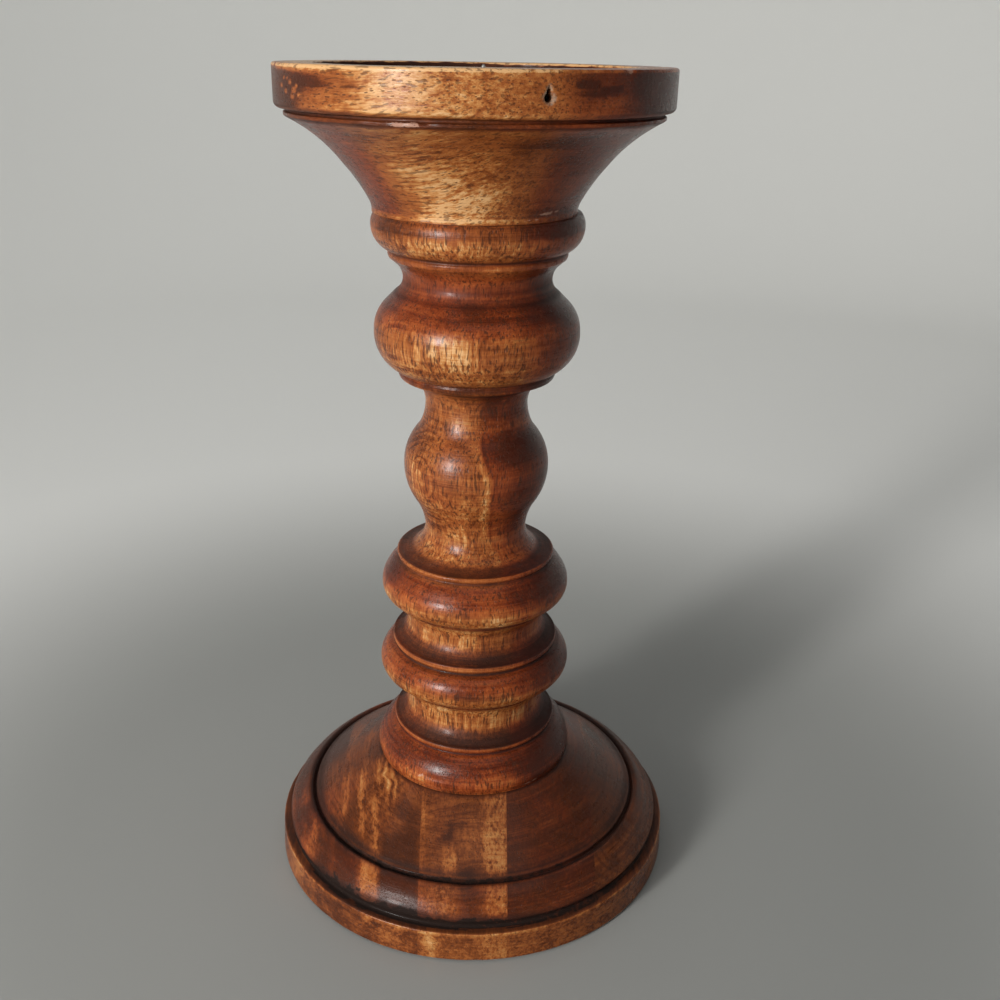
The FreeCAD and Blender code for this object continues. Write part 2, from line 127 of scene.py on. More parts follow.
def turned(rows, soften=0.16, fine=0.004, longest=0.62):
    """Ring positions along a turned outline: corners softened, rings closer where it curves.

    Gives (r, z), the outward normal in that plane, and how far the line lies
    inside (+) or outside (-) its own smoothed course, in millimetres.
    """
    pts, s = even(trace(rows), 0.06)
    soft = blur(pts, soften / 0.06)
    d1 = np.gradient(soft, s, axis=0)
    d1 /= np.hypot(d1[:, 0], d1[:, 1])[:, None]
    bend = np.hypot(*np.gradient(d1, s, axis=0).T)
    bend = blur(bend, 3.0)
    want = np.clip(np.sqrt(8 * fine / np.maximum(bend, 1e-4)), 0.11, longest)
    count = np.concatenate([[0], np.cumsum(0.5 * (1 / want[1:] + 1 / want[:-1]) * np.diff(s))])
    n = int(math.ceil(count[-1]))
    at = np.interp(np.linspace(0, count[-1], n + 1), count, s)
    ring = np.column_stack([np.interp(at, s, soft[:, k]) for k in range(2)])
    ring[0], ring[-1] = pts[0], pts[-1]
    normal = np.column_stack([np.interp(at, s, d1[:, 1]), np.interp(at, s, -d1[:, 0])])
    normal /= np.hypot(normal[:, 0], normal[:, 1])[:, None]
    hollow = np.zeros(len(at))
    for width in (1.1, 2.6, 5.0):
        course = blur(pts, width / 0.06)
        shift = course - pts
        n_all = np.column_stack([d1[:, 1], -d1[:, 0]])
        depth = (shift * n_all).sum(1) / width
        hollow += np.interp(at, s, depth)
    return ring, normal, hollow, at


def wobble(phi, s, seed, lows=((2, 0.030), (3, 0.022), (5, 0.012), (9, 0.006))):
    """Slow unevenness of a hand-turned surface, in millimetres, never outward."""
    rng = np.random.default_rng(seed)
    out = np.zeros((len(s), len(phi)))
    top = 0.0
    for order, amount in lows:
        for _ in range(2):
            pitch = rng.uniform(18, 60)
            out += amount * np.sin(order * phi[None, :] + s[:, None] * 2 * np.pi / pitch + rng.uniform(0, 6.28))
            top += amount
    return out - top


class Shell:
    """A turned surface as a grid of rings, each with its own centre along X."""

    def __init__(self):
        self.r, self.z, self.cx, self.nr, self.nz = [], [], [], [], []
        self.hollow, self.skin, self.s = [], [], []

    def add(self, r, z, cx=0.0, normal=None, hollow=None, skin=0.0, s=None):
        r, z = np.atleast_1d(r).astype(float), np.atleast_1d(z).astype(float)
        n = len(r)
        self.r += list(r)
        self.z += list(z)
        self.cx += list(np.broadcast_to(cx, n))
        normal = np.zeros((n, 2)) if normal is None else normal
        self.nr += list(normal[:, 0])
        self.nz += list(normal[:, 1])
        self.hollow += list(np.zeros(n) if hollow is None else hollow)
        self.skin += list(np.broadcast_to(float(skin), n))
        self.s += list(np.zeros(n) if s is None else s)
        return self

    def line(self, r1, z1, cx1=None, step=2.0):
        """Plain rings from the last one to here, for faces that are cut and not turned for show."""
        r0, z0, c0 = self.r[-1], self.z[-1], self.cx[-1]
        c1 = c0 if cx1 is None else cx1
        n = max(1, int(math.hypot(r1 - r0, z1 - z0) / step))
        t = np.arange(1, n + 1) / n
        length = math.hypot(r1 - r0, z1 - z0) or 1.0
        nrm = np.tile([(z1 - z0) / length, -(r1 - r0) / length], (n, 1))
        return self.add(r0 + (r1 - r0) * t, z0 + (z1 - z0) * t, c0 + (c1 - c0) * t, nrm)


def build(name, shell, phi, loop, seed, shape=None):
    """Mesh object from a Shell. loop joins the last ring to the first; otherwise both ends close on the axis."""
    r, z, cx = map(np.array, (shell.r, shell.z, shell.cx))
    nr, nz, skin = map(np.array, (shell.nr, shell.nz, shell.skin))
    hollow, s = np.array(shell.hollow), np.array(shell.s)
    rings, segs = len(r), len(phi)
    push = wobble(phi, s, seed) * skin[:, None]
    if shape is not None:
        push = push + shape(phi, r, z, s) * skin[:, None]
    rad = r[:, None] + push * nr[:, None]
    x = cx[:, None] + rad * np.sin(phi)[None, :]
    y = -rad * np.cos(phi)[None, :]
    h = z[:, None] + push * nz[:, None]
    co = np.stack([x, y, h], axis=-1).reshape(-1, 3) * MM
    extra = {"hollow": np.repeat(hollow, segs), "up": np.repeat(nz, segs),
             "skin": np.repeat(skin, segs), "dent": (push - wobble(phi, s, seed) * skin[:, None]).reshape(-1)}
    i = np.arange(rings if loop else rings - 1)
    j = np.arange(segs)
    a = (i[:, None] * segs + j[None, :]).ravel()
    b = (i[:, None] * segs + (j[None, :] + 1) % segs).ravel()
    up = ((i + 1) % rings)
    c = (up[:, None] * segs + (j[None, :] + 1) % segs).ravel()
    d = (up[:, None] * segs + j[None, :]).ravel()
    quads = np.column_stack([a, b, c, d])
    tris = np.zeros((0, 3), int)
    if not loop:
        first, last = len(co), len(co) + 1
        poles = np.array([[cx[0], 0, z[0]], [cx[-1], 0, z[-1]]]) * MM
        co = np.vstack([co, poles])
        for key in extra:
            extra[key] = np.concatenate([extra[key], [0.0, 0.0]])
        base = (rings - 1) * segs
        tris = np.vstack([
            np.column_stack([np.full(segs, first), (j + 1) % segs, j]),
            np.column_stack([np.full(segs, last), base + j, base + (j + 1) % segs]),
        ])
    mesh = bpy.data.meshes.new(name)
    mesh.vertices.add(len(co))
    mesh.vertices.foreach_set("co", co.astype(np.float32).ravel())
    loops = np.concatenate([quads.ravel(), tris.ravel()])
    starts = np.concatenate([np.arange(len(quads)) * 4, len(quads) * 4 + np.arange(len(tris)) * 3])
    mesh.loops.add(len(loops))
    mesh.loops.foreach_set("vertex_index", loops.astype(np.int32))
    mesh.polygons.add(len(starts))
    mesh.polygons.foreach_set("loop_start", starts.astype(np.int32))
    mesh.update(calc_edges=True)
    for key, values in extra.items():
        layer = mesh.attributes.new(key, "FLOAT", "POINT")
        layer.data.foreach_set("value", values.astype(np.float32))
    mesh.validate()
    ob = bpy.data.objects.new(name, mesh)
    bpy.context.scene.collection.objects.link(ob)
    return ob


def finish_mesh(ob, sharp=38):
    mesh = ob.data
    mesh.polygons.foreach_set("use_smooth", np.ones(len(mesh.polygons), bool))
    mesh.set_sharp_from_angle(angle=math.radians(sharp))
    mesh.update()
    return ob


def ring_angles(count, dense=()):
    """Angles round the axis, 0 at the front and growing to the right, closer together where dense says."""
    grid = np.linspace(-math.pi, math.pi, 7201)
    weight = np.ones(7200)
    mid = (grid[1:] + grid[:-1]) / 2
    for at, half, factor in dense:
        off = (mid - math.radians(at) + math.pi) % (2 * math.pi) - math.pi
        weight += factor * np.exp(-0.5 * (off / math.radians(half)) ** 2)
    total = np.concatenate([[0], np.cumsum(weight)])
    return np.interp(np.linspace(0, total[-1], count + 1)[:-1], total, grid)


def hit(phi, r, z, at_deg, at_z, wide, high, depth, power=2.0):
    """A dent of that width and height, centred there, pushed in by depth."""
    off = (phi - math.radians(at_deg) + math.pi) % (2 * math.pi) - math.pi
    u = r[:, None] * off[None, :] / wide
    v = (z[:, None] - at_z) / high
    return -depth * np.exp(-(u * u + v * v) ** (power / 2))


# --- base ------------------------------------------------------------------
ring, nrm, hol, dist = turned(BASE)
block = Shell()
block.add(2.3, 6.0).line(8.0, 6.0).line(8.0, 1.6).line(56.0, 1.6, step=4).line(56.0, 0.6, step=1).line(62.4, 0.6, step=1.2)
block.add(ring[:, 0], ring[:, 1], 0.0, nrm, hol, 1.0, dist)
block.line(12.0, 33.8).line(12.0, 12.0).line(2.3, 12.0)


def base_shape(phi, r, z, s):
    rng = np.random.default_rng(5)
    out = np.zeros((len(z), len(phi)))
    for _ in range(46):  # knocks on the two lower edges and the moulding
        at, high = rng.uniform(-180, 180), rng.choice([1.0, 9.7, 12.6, 19.8, 5.0, 15.5])
        size = rng.uniform(0.5, 2.2)
        out += hit(phi, r, z, at, high + rng.uniform(-0.5, 0.5), size, size * 0.45, rng.uniform(0.05, 0.22))
    return out


blank = build("blank", block, ring_angles(440), True, 11, base_shape)
boards = []
for k in range(5):
    ob = bpy.data.objects.new("board_%d" % (k + 1), blank.data.copy())
    bpy.context.scene.collection.objects.link(ob)
    bm = bmesh.new()
    bm.from_mesh(ob.data)
    for side, at in ((-1, GLUE_X[k - 1] if k else None), (1, GLUE_X[k] if k < 4 else None)):
        if at is None:
            continue
        cut = bmesh.ops.bisect_plane(
            bm, geom=bm.verts[:] + bm.edges[:] + bm.faces[:], dist=1e-8,
            plane_co=(at * MM, 0, 0), plane_no=(side, 0, 0), clear_outer=True)
        edges = [e for e in cut["geom_cut"] if isinstance(e, bmesh.types.BMEdge) and e.is_boundary]
        filled = bmesh.ops.triangle_fill(bm, edges=edges, use_beauty=True, use_dissolve=False, normal=(side, 0, 0))
    bmesh.ops.recalc_face_normals(bm, faces=bm.faces[:])
    open_edges = sum(1 for e in bm.edges if not e.is_manifold)
    print("board", k + 1, "faces", len(bm.faces), "open edges", open_edges)
    bm.to_mesh(ob.data)
    bm.free()
    boards.append(finish_mesh(ob))
bpy.data.objects.remove(blank)

# --- stem ------------------------------------------------------------------
ring, nrm, hol, dist = turned(STEM, longest=0.66)
spindle = Shell()
spindle.add(0.4, 45.6).line(2.25, 41.0).line(2.25, 12.4, step=4).line(11.0, 12.4).line(12.0, 13.4, step=1).line(12.0, 33.8)
spindle.line(29.9, 33.8)
spindle.add(ring[:, 0], ring[:, 1], 0.0, nrm, hol, 1.0, dist)
spindle.line(10.0, 203.0).line(10.0, 217.8).line(9.0, 218.8, step=1).line(0.6, 218.8)


def stem_shape(phi, r, z, s):
    rng = np.random.default_rng(8)
    out = np.zeros((len(z), len(phi)))
    for _ in range(60):
        size = rng.uniform(0.4, 1.5)
        high = rng.choice([37.5, 46.2, 61.8, 66.5, 74.5, 88.5, 93.0, 102.8, 130.0, 158.6, 171.0, 191.4, 199.0])
        out += hit(phi, r, z, rng.uniform(-180, 180), high + rng.uniform(-1.5, 1.5), size, size * 0.5, rng.uniform(0.03, 0.14))
    return out


stem = finish_mesh(build("spindle", spindle, ring_angles(232), False, 21, stem_shape))

# --- cup -------------------------------------------------------------------
HOLE_AT, HOLE_Z = 18.3, 233.9  # worm hole in the rim band, degrees round and height
ring, nrm, hol, dist = turned(CUP, soften=0.14, longest=0.6)
near = (ring[:, 1] > HOLE_Z - 2.4) & (ring[:, 1] < HOLE_Z + 2.4) & (ring[:, 0] > 51)
lo, hi = np.where(near)[0][[0, -1]]
m = 27
blend = lambda a: np.interp(np.linspace(lo, hi, m), np.arange(len(a)), a)
join = lambda a: np.concatenate([a[:lo], blend(a), a[hi + 1:]])
ring = np.column_stack([join(ring[:, 0]), join(ring[:, 1])])
nrm = np.column_stack([join(nrm[:, 0]), join(nrm[:, 1])])
hol, dist = join(hol), join(dist)
bowl = Shell()
bowl.add(2.0, 220.8, SPIKE_X).line(3.6, 220.8, step=1).line(3.6, 219.4, step=1).line(10.0, 219.4, 0.0)
bowl.line(10.0, 203.0, step=3).line(27.7, 203.0, CUP_X)
bowl.add(ring[:, 0], ring[:, 1], CUP_X, nrm, hol, 1.0, dist)
floor_rings = 60
t = np.linspace(0, 1, floor_rings)[1:]
floor_r = 41.5 + (2.0 - 41.5) * t
floor_c = CUP_X + (SPIKE_X - CUP_X) * np.clip((16 - floor_r) / 14.0, 0, 1)
up = np.tile([0.0, 1.0], (len(t), 1))
bowl.add(floor_r, np.full(len(t), 229.0), floor_c, up, None, 0.6, dist[-1] + 41.5 - floor_r)


def cup_shape(phi, r, z, s):
    out = np.zeros((len(z), len(phi)))
    off = ((phi - math.radians(HOLE_AT) + math.pi) % (2 * math.pi) - math.pi)[None, :]
    outside = (r > 51.0)[:, None]
    # round hole with a short tail towards the rim
    u, v = 52.25 * off, z[:, None] - HOLE_Z
    rho = np.minimum(np.hypot(u / 0.90, v / 0.90), np.hypot((u + 0.05) / 0.45, (v - 0.95) / 1.00))
    out -= outside * 2.6 / (1 + np.exp((rho - 1.0) * 11))
    out -= outside * 0.18 * np.exp(-0.5 * ((rho - 1.0) / 0.55) ** 2)
    # chips broken from the fillet under the rim band
    rng = np.random.default_rng(14)
    chips = [(-27, 228.0, 2.6), (-21, 227.9, 1.9), (-14, 228.1, 2.4)]
    chips += [(rng.uniform(-180, 180), 227.9 + rng.uniform(-0.3, 0.3), rng.uniform(0.6, 1.8)) for _ in range(26)]
    for at, high, size in chips:
        out += hit(phi, r, z, at, high, size, 0.45, rng.uniform(0.15, 0.4)) * (r > 48)[:, None]
    for _ in range(34):  # knocks along the rim edge, the band and the flare
        high = rng.choice([239.3, 239.6, 230.2, 235.0, 221.0, 214.0])
        size = rng.uniform(0.5, 2.0)
        out += hit(phi, r, z, rng.uniform(-180, 180), high + rng.uniform(-1, 1), size, size * 0.4, rng.uniform(0.04, 0.2)) * (r > 44)[:, None]
    out += hit(phi, r, z, 43.0, 239.3, 1.3, 0.8, 0.5) * (r > 50)[:, None]
    return out


cup = finish_mesh(build("cup_block", bowl, ring_angles(352, [(HOLE_AT, 1.8, 3.2)]), True, 31, cup_shape))

# --- spike -----------------------------------------------------------------
pin = Shell()
pin_line, pin_n, pin_h, pin_s = turned(
    [(3.2, 219.5, 0), (3.4, 219.7, 0.2), (3.4, 220.6, 0), (3.2, 220.8, 0.2), (2.0, 220.8, 0), (2.0, 228.98, 0),
     (1.8, 229.02, 0), (1.8, 234.8, 0),
     (0.42, 239.6, 0), (0.0, 239.88, 0.55)], soften=0.07, fine=0.002, longest=0.7)
pin.add(1.6, 219.5, SPIKE_X)
pin.add(np.maximum(pin_line[:-1, 0], 0.02), pin_line[:-1, 1], SPIKE_X, pin_n[:-1], pin_h[:-1], 0.1, pin_s[:-1])
spike = finish_mesh(build("spike", pin, ring_angles(48), False, 41), 60)

# --- felt ------------------------------------------------------------------
pad = Shell()
pad_line, pad_n, pad_h, pad_s = turned(
    [(8.0, 0.0, 0), (55.2, 0.0, 0), (55.6, 0.4, 0.4), (55.6, 1.3, 0), (55.3, 1.58, 0.3), (8.0, 1.58, 0)],
    soften=0.12, longest=1.3)
pad.add([1.0, 4.0], [0.0, 0.0])
pad.add(pad_line[:, 0], np.maximum(pad_line[:, 1], 0.0), 0.0, pad_n, pad_h, 0.0, pad_s)
pad.add([4.0, 1.0], [1.58, 1.58])


def felt_push(ob):
    rng = np.random.default_rng(3)
    co = np.empty(len(ob.data.vertices) * 3, np.float32)
    ob.data.vertices.foreach_get("co", co)
    co = co.reshape(-1, 3)
    rad = np.hypot(co[:, 0], co[:, 1])
    rough = np.zeros(len(co))
    for _ in range(24):
        k = rng.normal(size=3) * rng.uniform(0.4, 3.0) / MM
        rough += np.sin(co @ k + rng.uniform(0, 6.28))
    rough = rough / 24
    low = co[:, 2] < 0.0002
    co[low, 2] += np.clip(0.00005 + 0.0002 * rough[low], 0, 0.0004) * (rad[low] < 0.0545)
    edge = (rad > 0.055)
    shrink = 1 - np.clip(0.0003 + 0.0012 * rough, 0, 0.0009)[edge] / rad[edge]
    co[edge, 0] *= shrink
    co[edge, 1] *= shrink
    ob.data.vertices.foreach_set("co", co.ravel())


felt = build("felt_disc", pad, ring_angles(300), False, 51)
felt_push(felt)
finish_mesh(felt, 60)

# ---------------------------------------------------------------------------
# Stains, wear, figure, painted shade and painted highlights that belong to a place, as values on the vertices
# ---------------------------------------------------------------------------
def points(ob):
    co = np.empty(len(ob.data.vertices) * 3, np.float32)
    ob.data.vertices.foreach_get("co", co)
    return co.reshape(-1, 3).astype(float) / MM


def layer(ob, name):
    out = np.zeros(len(ob.data.vertices), np.float32)
    if name in ob.data.attributes:
        ob.data.attributes[name].data.foreach_get("value", out)
    return out.astype(float)


def store(ob, name, values):
    made = ob.data.attributes.get(name) or ob.data.attributes.new(name, "FLOAT", "POINT")
    made.data.foreach_set("value", np.asarray(values, np.float32))


def rise(x, lo, hi):
    t = np.clip((x - lo) / (hi - lo), 0, 1)
    return t * t * (3 - 2 * t)


def bell(x, at, half):
    return np.exp(-0.5 * ((x - at) / half) ** 2)


def band_of(x, lo, hi, soft):
    return rise(x, lo - soft, lo + soft) * (1 - rise(x, hi - soft, hi + soft))


def around(x, y):
    """Degrees round from the front, + to the right."""
    return np.degrees(np.arctan2(x, -y))


def turn_gap(angle, at):
    return (angle - at + 180) % 360 - 180


# base boards: gold and dark lie in streaks along the grain, which runs front to back
rng = np.random.default_rng(77)
for k, ob in enumerate(boards):
    p = points(ob)
    x, y, z = p.T
    r = np.hypot(x, y)
    angle = around(x, y)
    hollow = layer(ob, "hollow")
    tone = np.zeros(len(p))
    cone, torus, band = rise(z, 20.0, 20.8) * (r < 51.6), band_of(z, 11.5, 20.0, 0.4) * (r > 51.6), 1 - rise(z, 9.6, 10.4)
    front = 1 - rise(y, -8, 4)
    if k == 2:
        tone += 0.29 * band_of(x, 3.2, 10.4, 1.6) * front * cone * (0.60 + 0.40 * rise(-y, 33, 44))
        tone += 0.24 * band_of(x, 3.6, 10.4, 1.0) * front * (torus + 0.4 * band)
        tone += 0.22 * band_of(x, -9.2, -4.4, 1.0) * rise(-y, 42, 47) * (cone + 0.8 * torus)
        tone += 0.13 * band_of(x, -15.7, -9.0, 1.5) * rise(-y, 51, 55) * torus
        tone -= 0.17 * bell(x, -0.6, 2.6) * rise(-y, 44, 51) * (1 - band)
        tone += 0.25 * bell(x, -12.4, 1.7) * front * (band + 0.3 * torus * rise(-y, 56, 59))
        tone += 0.16 * bell(x, -14.9, 0.6) * band_of(-y, 22, 50, 3) * cone
        tone -= 0.24 * bell(x, -8.0, 1.4) * bell(y, -41.2, 0.9) * cone
        tone -= 0.20 * bell(x, -6.6, 0.9) * bell(y, -39.4, 1.5) * cone
        tone -= 0.12 * bell(x, -11.6, 2.4) * bell(y, -38.6, 1.6) * cone
        tone -= 0.12 * bell(x, -12.0, 3.0) * bell(y, -44.0, 2.4) * cone
        tone -= 0.10 * bell(x, -5.0, 4.0) * bell(y, -35.0, 3.0) * cone
        tone += 0.10 * bell(x, 1.5, 3.0) * bell(y, -42.5, 3.0) * cone
    elif k == 1:
        rag = 0.60 + 0.38 * np.sin(2.7 * x + 0.35 * y + 1.3 * np.sin(0.62 * y) + 0.7 * np.sin(1.5 * y + x)) * (0.75 + 0.25 * np.sin(0.8 * y + 1.9 * x))
        tone += 0.30 * bell(x + 0.06 * (y + 24), -34.8, 1.1) * band_of(-y, 12, 35, 3) * cone
        tone += 0.26 * bell(x - 0.12 * (-y - 34), -29.6, 0.8) * band_of(-y, 24, 45, 3) * cone
        tone += 0.26 * bell(x, -40.2, 1.0) * band_of(-y, 9, 27, 3) * cone
        tone += 0.46 * rag * bell(x, -24.8, 2.7) * bell(y, -23.0, 4.6) * cone
        tone += 0.40 * rag * bell(x, -27.8, 2.7) * bell(y, -15.5, 4.4) * cone
        tone -= 0.20 * band_of(x, -27.6, -16.4, 1.6) * band_of(-y, 37.5, 50, 3.0) * cone
        tone -= 0.07 * band_of(x, -24, -16.2, 2.0) * (1 - rise(-y, 30, 40)) * front * cone
        tone -= 0.16 * band_of(x, -42, -34, 1.0) * rise(-y, 22, 32) * cone
        tone -= 0.07 * band_of(x, -42, -36, 1.0) * (1 - rise(-y, 22, 32)) * front * cone
        tone += 0.30 * band_of(x, -33.4, -27.6, 0.8) * torus * front
        tone -= 0.20 * band_of(x, -27.2, -16.0, 0.8) * torus * front * (1 - 0.8 * band_of(x, -26, -20, 2) * rise(-y, 53, 57))
        tone -= 0.18 * band_of(x, -41.8, -34.2, 1.2) * torus * front
        tone += 0.24 * bell(x, -31.0, 0.9) * bell(z, 7.8, 1.6) * band * front
        tone -= 0.05 * band * front
        tone += 0.10 * band_of(x, -30, -17, 2.0) * band * front
    elif k == 0:
        tone += 0.30 * bell(x, -48.6, 2.0) * bell(y, -27.5, 6.0) * torus
        tone += 0.22 * bell(x, -54.0, 2.2) * bell(y, -11.0, 4.0) * torus
        tone -= 0.14 * bell(x, -45.0, 2.4) * torus * front
        tone -= 0.10 * bell(y, -19.0, 2.6) * torus
        tone -= 0.02 * cone
        tone += 0.10 * bell(y, -30.0, 5.0) * band
    elif k == 3:
        tone -= 0.14 * front * (cone + torus)
        tone += 0.06 * band_of(z, 13.0, 15.0, 0.6) * torus * front
        tone += 0.06 * front * band
    else:
        tone -= 0.11 * cone * front
        tone += 0.10 * band_of(z, 12.6, 14.6, 0.7) * torus * front
        tone += 0.08 * band * front
    if k >= 3:  # turning lines show on the plain dark boards
        tone += 0.055 * np.sin(r * 4.6 + 0.8 * np.sin(np.radians(angle) * 5)) * torus * (0.5 + 0.5 * np.sin(np.radians(angle) * 9 + 1))
    # the same kind of figure where the photograph doesn't reach
    behind = rise(y, -6, 8)
    for _ in range(6):
        lo_x = rng.uniform(-60, 58)
        tone += behind * rng.uniform(0.12, 0.28) * bell(x, lo_x, rng.uniform(0.8, 2.4)) * bell(y, rng.uniform(5, 60), rng.uniform(8, 18))
        tone -= behind * rng.uniform(0.08, 0.24) * bell(x, rng.uniform(-60, 58), rng.uniform(2, 5)) * bell(y, rng.uniform(5, 60), rng.uniform(8, 20))
    tone += 0.085 * band - 0.03 * torus  # the plain lower band is worn paler
    # hand stain and painted shade gather above the band under the moulding and in the ring groove, and thin out
    # upwards; painted shade also darkens the hollows and the cone where the stem stands on it
    dirt_and_shade = 0.78 + 0.22 * bell(turn_gap(angle, -18), 0, 26)
    stain_and_shade = np.where(z < 10.0, 0.55 * rise(z, 9.3, 9.95) * (r < 62.3), 0.0)
    high = 14.2 + 1.5 * bell(turn_gap(angle, -22), 0, 22) - 0.9 * rise(angle, 20, 50) + 0.3 * np.sin(np.radians(angle) * 13)
    stain_and_shade = np.maximum(stain_and_shade, dirt_and_shade * (z >= 9.95) * (1 - rise(z, high - 2.6, high)) * (r > 52))
    stain_and_shade = np.maximum(stain_and_shade, band_of(r, 51.2, 53.3, 0.5) * (z > 18.0) * (0.66 + 0.34 * bell(turn_gap(angle, -8), 0, 50)))
    stain_and_shade = np.maximum(stain_and_shade, 0.70 * (1 - rise(r, 53.0, 55.4)) * (r > 51.7) * (z > 17.5))
    stain_and_shade = np.maximum(stain_and_shade, 0.72 * rise(r, 48.6 + 0.5 * np.sin(np.radians(angle) * 9), 51.2) * cone)
    stain_and_shade = np.maximum(stain_and_shade, 0.55 * (1 - rise(r, 30.3, 31.4)) * (z > 32.6))
    ragged = 0.55 * np.sin(np.radians(angle) * 17 + 1) + 0.45 * np.sin(np.radians(angle) * 41 + 2) + 0.35 * np.sin(np.radians(angle) * 83)
    packed = (z >= 9.95) * (r > 52) * (1 - rise(z, high - 3.2 + ragged, high - 1.0 + ragged)) * (0.58 + 0.40 * bell(turn_gap(angle, -32), 0, 34))
    packed = np.maximum(packed, 0.50 * bell(turn_gap(angle, -40), 0, 16) * band_of(z, 12.5, 15.4, 1.0) * (r > 52))
    packed = np.maximum(packed, 0.62 * band_of(r, 51.2, 53.0, 0.4) * (z > 18.0) * bell(turn_gap(angle, -12), 0, 48))
    store(ob, "packed", np.clip(packed, 0, 1))
    store(ob, "tone", tone)
    store(ob, "stain_and_shade", np.clip(np.maximum(stain_and_shade, 0.9 * rise(hollow, 0.35, 1.0) * (z < 20)), 0, 1))
    store(ob, "worn", rise(-hollow, 0.32, 0.80))
    store(ob, "red", 0.20 * torus * (k < 3) + 0.30 * bell(x, -48, 6) * bell(y, -18, 8) + (0.22 if k == 3 else 0.0) - 0.35 * band)
    store(ob, "figure", np.full(len(p), 0.5))

# stem: light wood on the left of a leaning plane, dark on the right
p = points(stem)
x, y, z = p.T
r = np.hypot(x, y)
angle = around(x, y)
hollow, upward = layer(stem, "hollow"), layer(stem, "up")
edge_x = np.interp(z, [33, 60, 92, 104, 112, 120, 131, 142, 148, 156, 160, 172, 190, 203],
                   [12.5, 12.5, 11.5, 8.0, 4.6, 3.2, 4.4, 1.8, 1.0, 1.5, 14, 16, 13, 12])
soft = np.interp(z, [33, 100, 106, 142, 150, 158, 203], [3.0, 2.4, 1.7, 1.6, 2.5, 5.0, 5.0])
wave = 0.5 * np.sin(z / 4.7) + 0.3 * np.sin(z / 2.1 + 1.3)
at_back = rise(np.abs(turn_gap(angle, 180)), 75, 25)
dark_side = rise((x - edge_x - wave) / soft, -1, 1) * (1 - 0.6 * at_back)
tone = -(0.12 + 0.09 * rise(x - edge_x, 0, 9)) * dark_side
# bright strip along the plane and a dark line behind it, on the vase
near_edge = x - edge_x - wave
vase = band_of(z, 104.5, 143, 2.0) * (y < 0)
tone += vase * (0.21 * bell(near_edge, -1.3, 0.9) * rise(z, 110, 118) - 0.16 * bell(near_edge, 0.5, 0.35))
bead = np.zeros(len(z))
rng = np.random.default_rng(61)
ripple = np.zeros(len(z))
for order in (1, 2, 3, 5, 7, 11):
    ripple += np.sin(np.radians(angle) * order + rng.uniform(0, 6.28)) * 0.30 / order ** 0.5
# ring beads: upper halves darker, lower halves lighter, red-brown stain together with painted reflection of a dark
# ceiling above and the bright floor below
for lo_z, hi_z in ((34, 44.4), (61.6, 72.2), (88.4, 100.6)):
    share = (z - lo_z) / (hi_z - lo_z)
    tone -= 0.13 * rise(share, 0.36 + 0.05 * ripple, 0.62 + 0.05 * ripple) * (share < 1.05) * (share > 0)
    tone += 0.06 * band_of(share, 0.05, 0.44, 0.12) * (lo_z > 50)
    bead += band_of(share, 0.0, 1.0, 0.05)
tone -= 0.09 * band_of(z, 34, 44, 0.5)
tone += 0.16 * bell(turn_gap(angle, -38), 0, 9) * band_of(z, 34.6, 38.4, 0.6)
tone += 0.14 * bell(turn_gap(angle, 14), 0, 5) * band_of(z, 35.5, 40.5, 0.8)
tone += 0.15 * band_of(z, 49.6, 60.0, 1.6) + 0.16 * band_of(z, 77.4, 87, 1.6)         # necks
tone += 0.10 * band_of(z, 104.6, 113, 0.6)                                            # foot of the vase
tone -= 0.22 * band_of(z, 157.0, 159.5, 0.4)
tone += 0.07 * band_of(z, 160.5, 168.5, 1.8) - 0.06 * band_of(z, 166, 176, 2) + 0.05 * bell(turn_gap(angle, -25), 0, 20) * band_of(z, 166, 176, 2)
tone += 0.08 * bell(turn_gap(angle, -48), 0, 20) * band_of(z, 160.5, 170, 1.8)
# painted highlight: the bulb is lightened at about -19° round, where the key light's highlight lies
tone += 0.20 * bell(turn_gap(angle, -19), 0, 16) * band_of(z, 165.5, 174.5, 2.0)
tone -= 0.22 * rise(z, 174, 178.5) * (1 - rise(z, 181.0, 182.4))
tone -= 0.12 * band_of(z, 182.4, 190, 0.6) * (1 - 0.7 * bell(turn_gap(angle, -8), 0, 12))
tone += 0.10 * band_of(z, 190.6, 192.4, 0.3)
tone += 0.20 * band_of(z, 193.8, 198.6, 1.0) * (0.35 + 0.65 * bell(turn_gap(angle, -38), 0, 24)) - 0.16 * band_of(z, 199.2, 203, 0.6)
tone -= 0.12 * band_of(z, 149, 156.4, 1.5) * bell(turn_gap(angle, 8), 0, 22)
tone += 0.12 * bell(turn_gap(angle, -12), 0, 9) * band_of(z, 146, 153, 1.5)
tone -= 0.14 * band_of(z, 136, 143.5, 2.0) * (1 - bell(turn_gap(angle, -52), 0, 12))
tone += 0.16 * bell(turn_gap(angle, -56), 0, 8) * band_of(z, 119, 137, 3)
tone += 0.10 * bell(turn_gap(angle, -20), 0, 16) * band_of(z, 112, 128, 4)
tone -= 0.12 * bell(turn_gap(angle, -6), 0, 12) * bell(z, 116.5, 1.6)
tone -= 0.10 * bell(turn_gap(angle, -30), 0, 14) * bell(z, 131.5, 3.0)
fillets = np.zeros(len(z))
for low, high in ((45.3, 46.9), (73.3, 75.2), (102.0, 103.3), (158.4, 159.3), (191.0, 192.4)):
    tone -= 0.07 * band_of(z, low, high, 0.2) * (0.6 + 0.4 * np.sin(np.radians(angle) * 4 + low))
    fillets += band_of(z, low - 0.3, high + 0.3, 0.3)
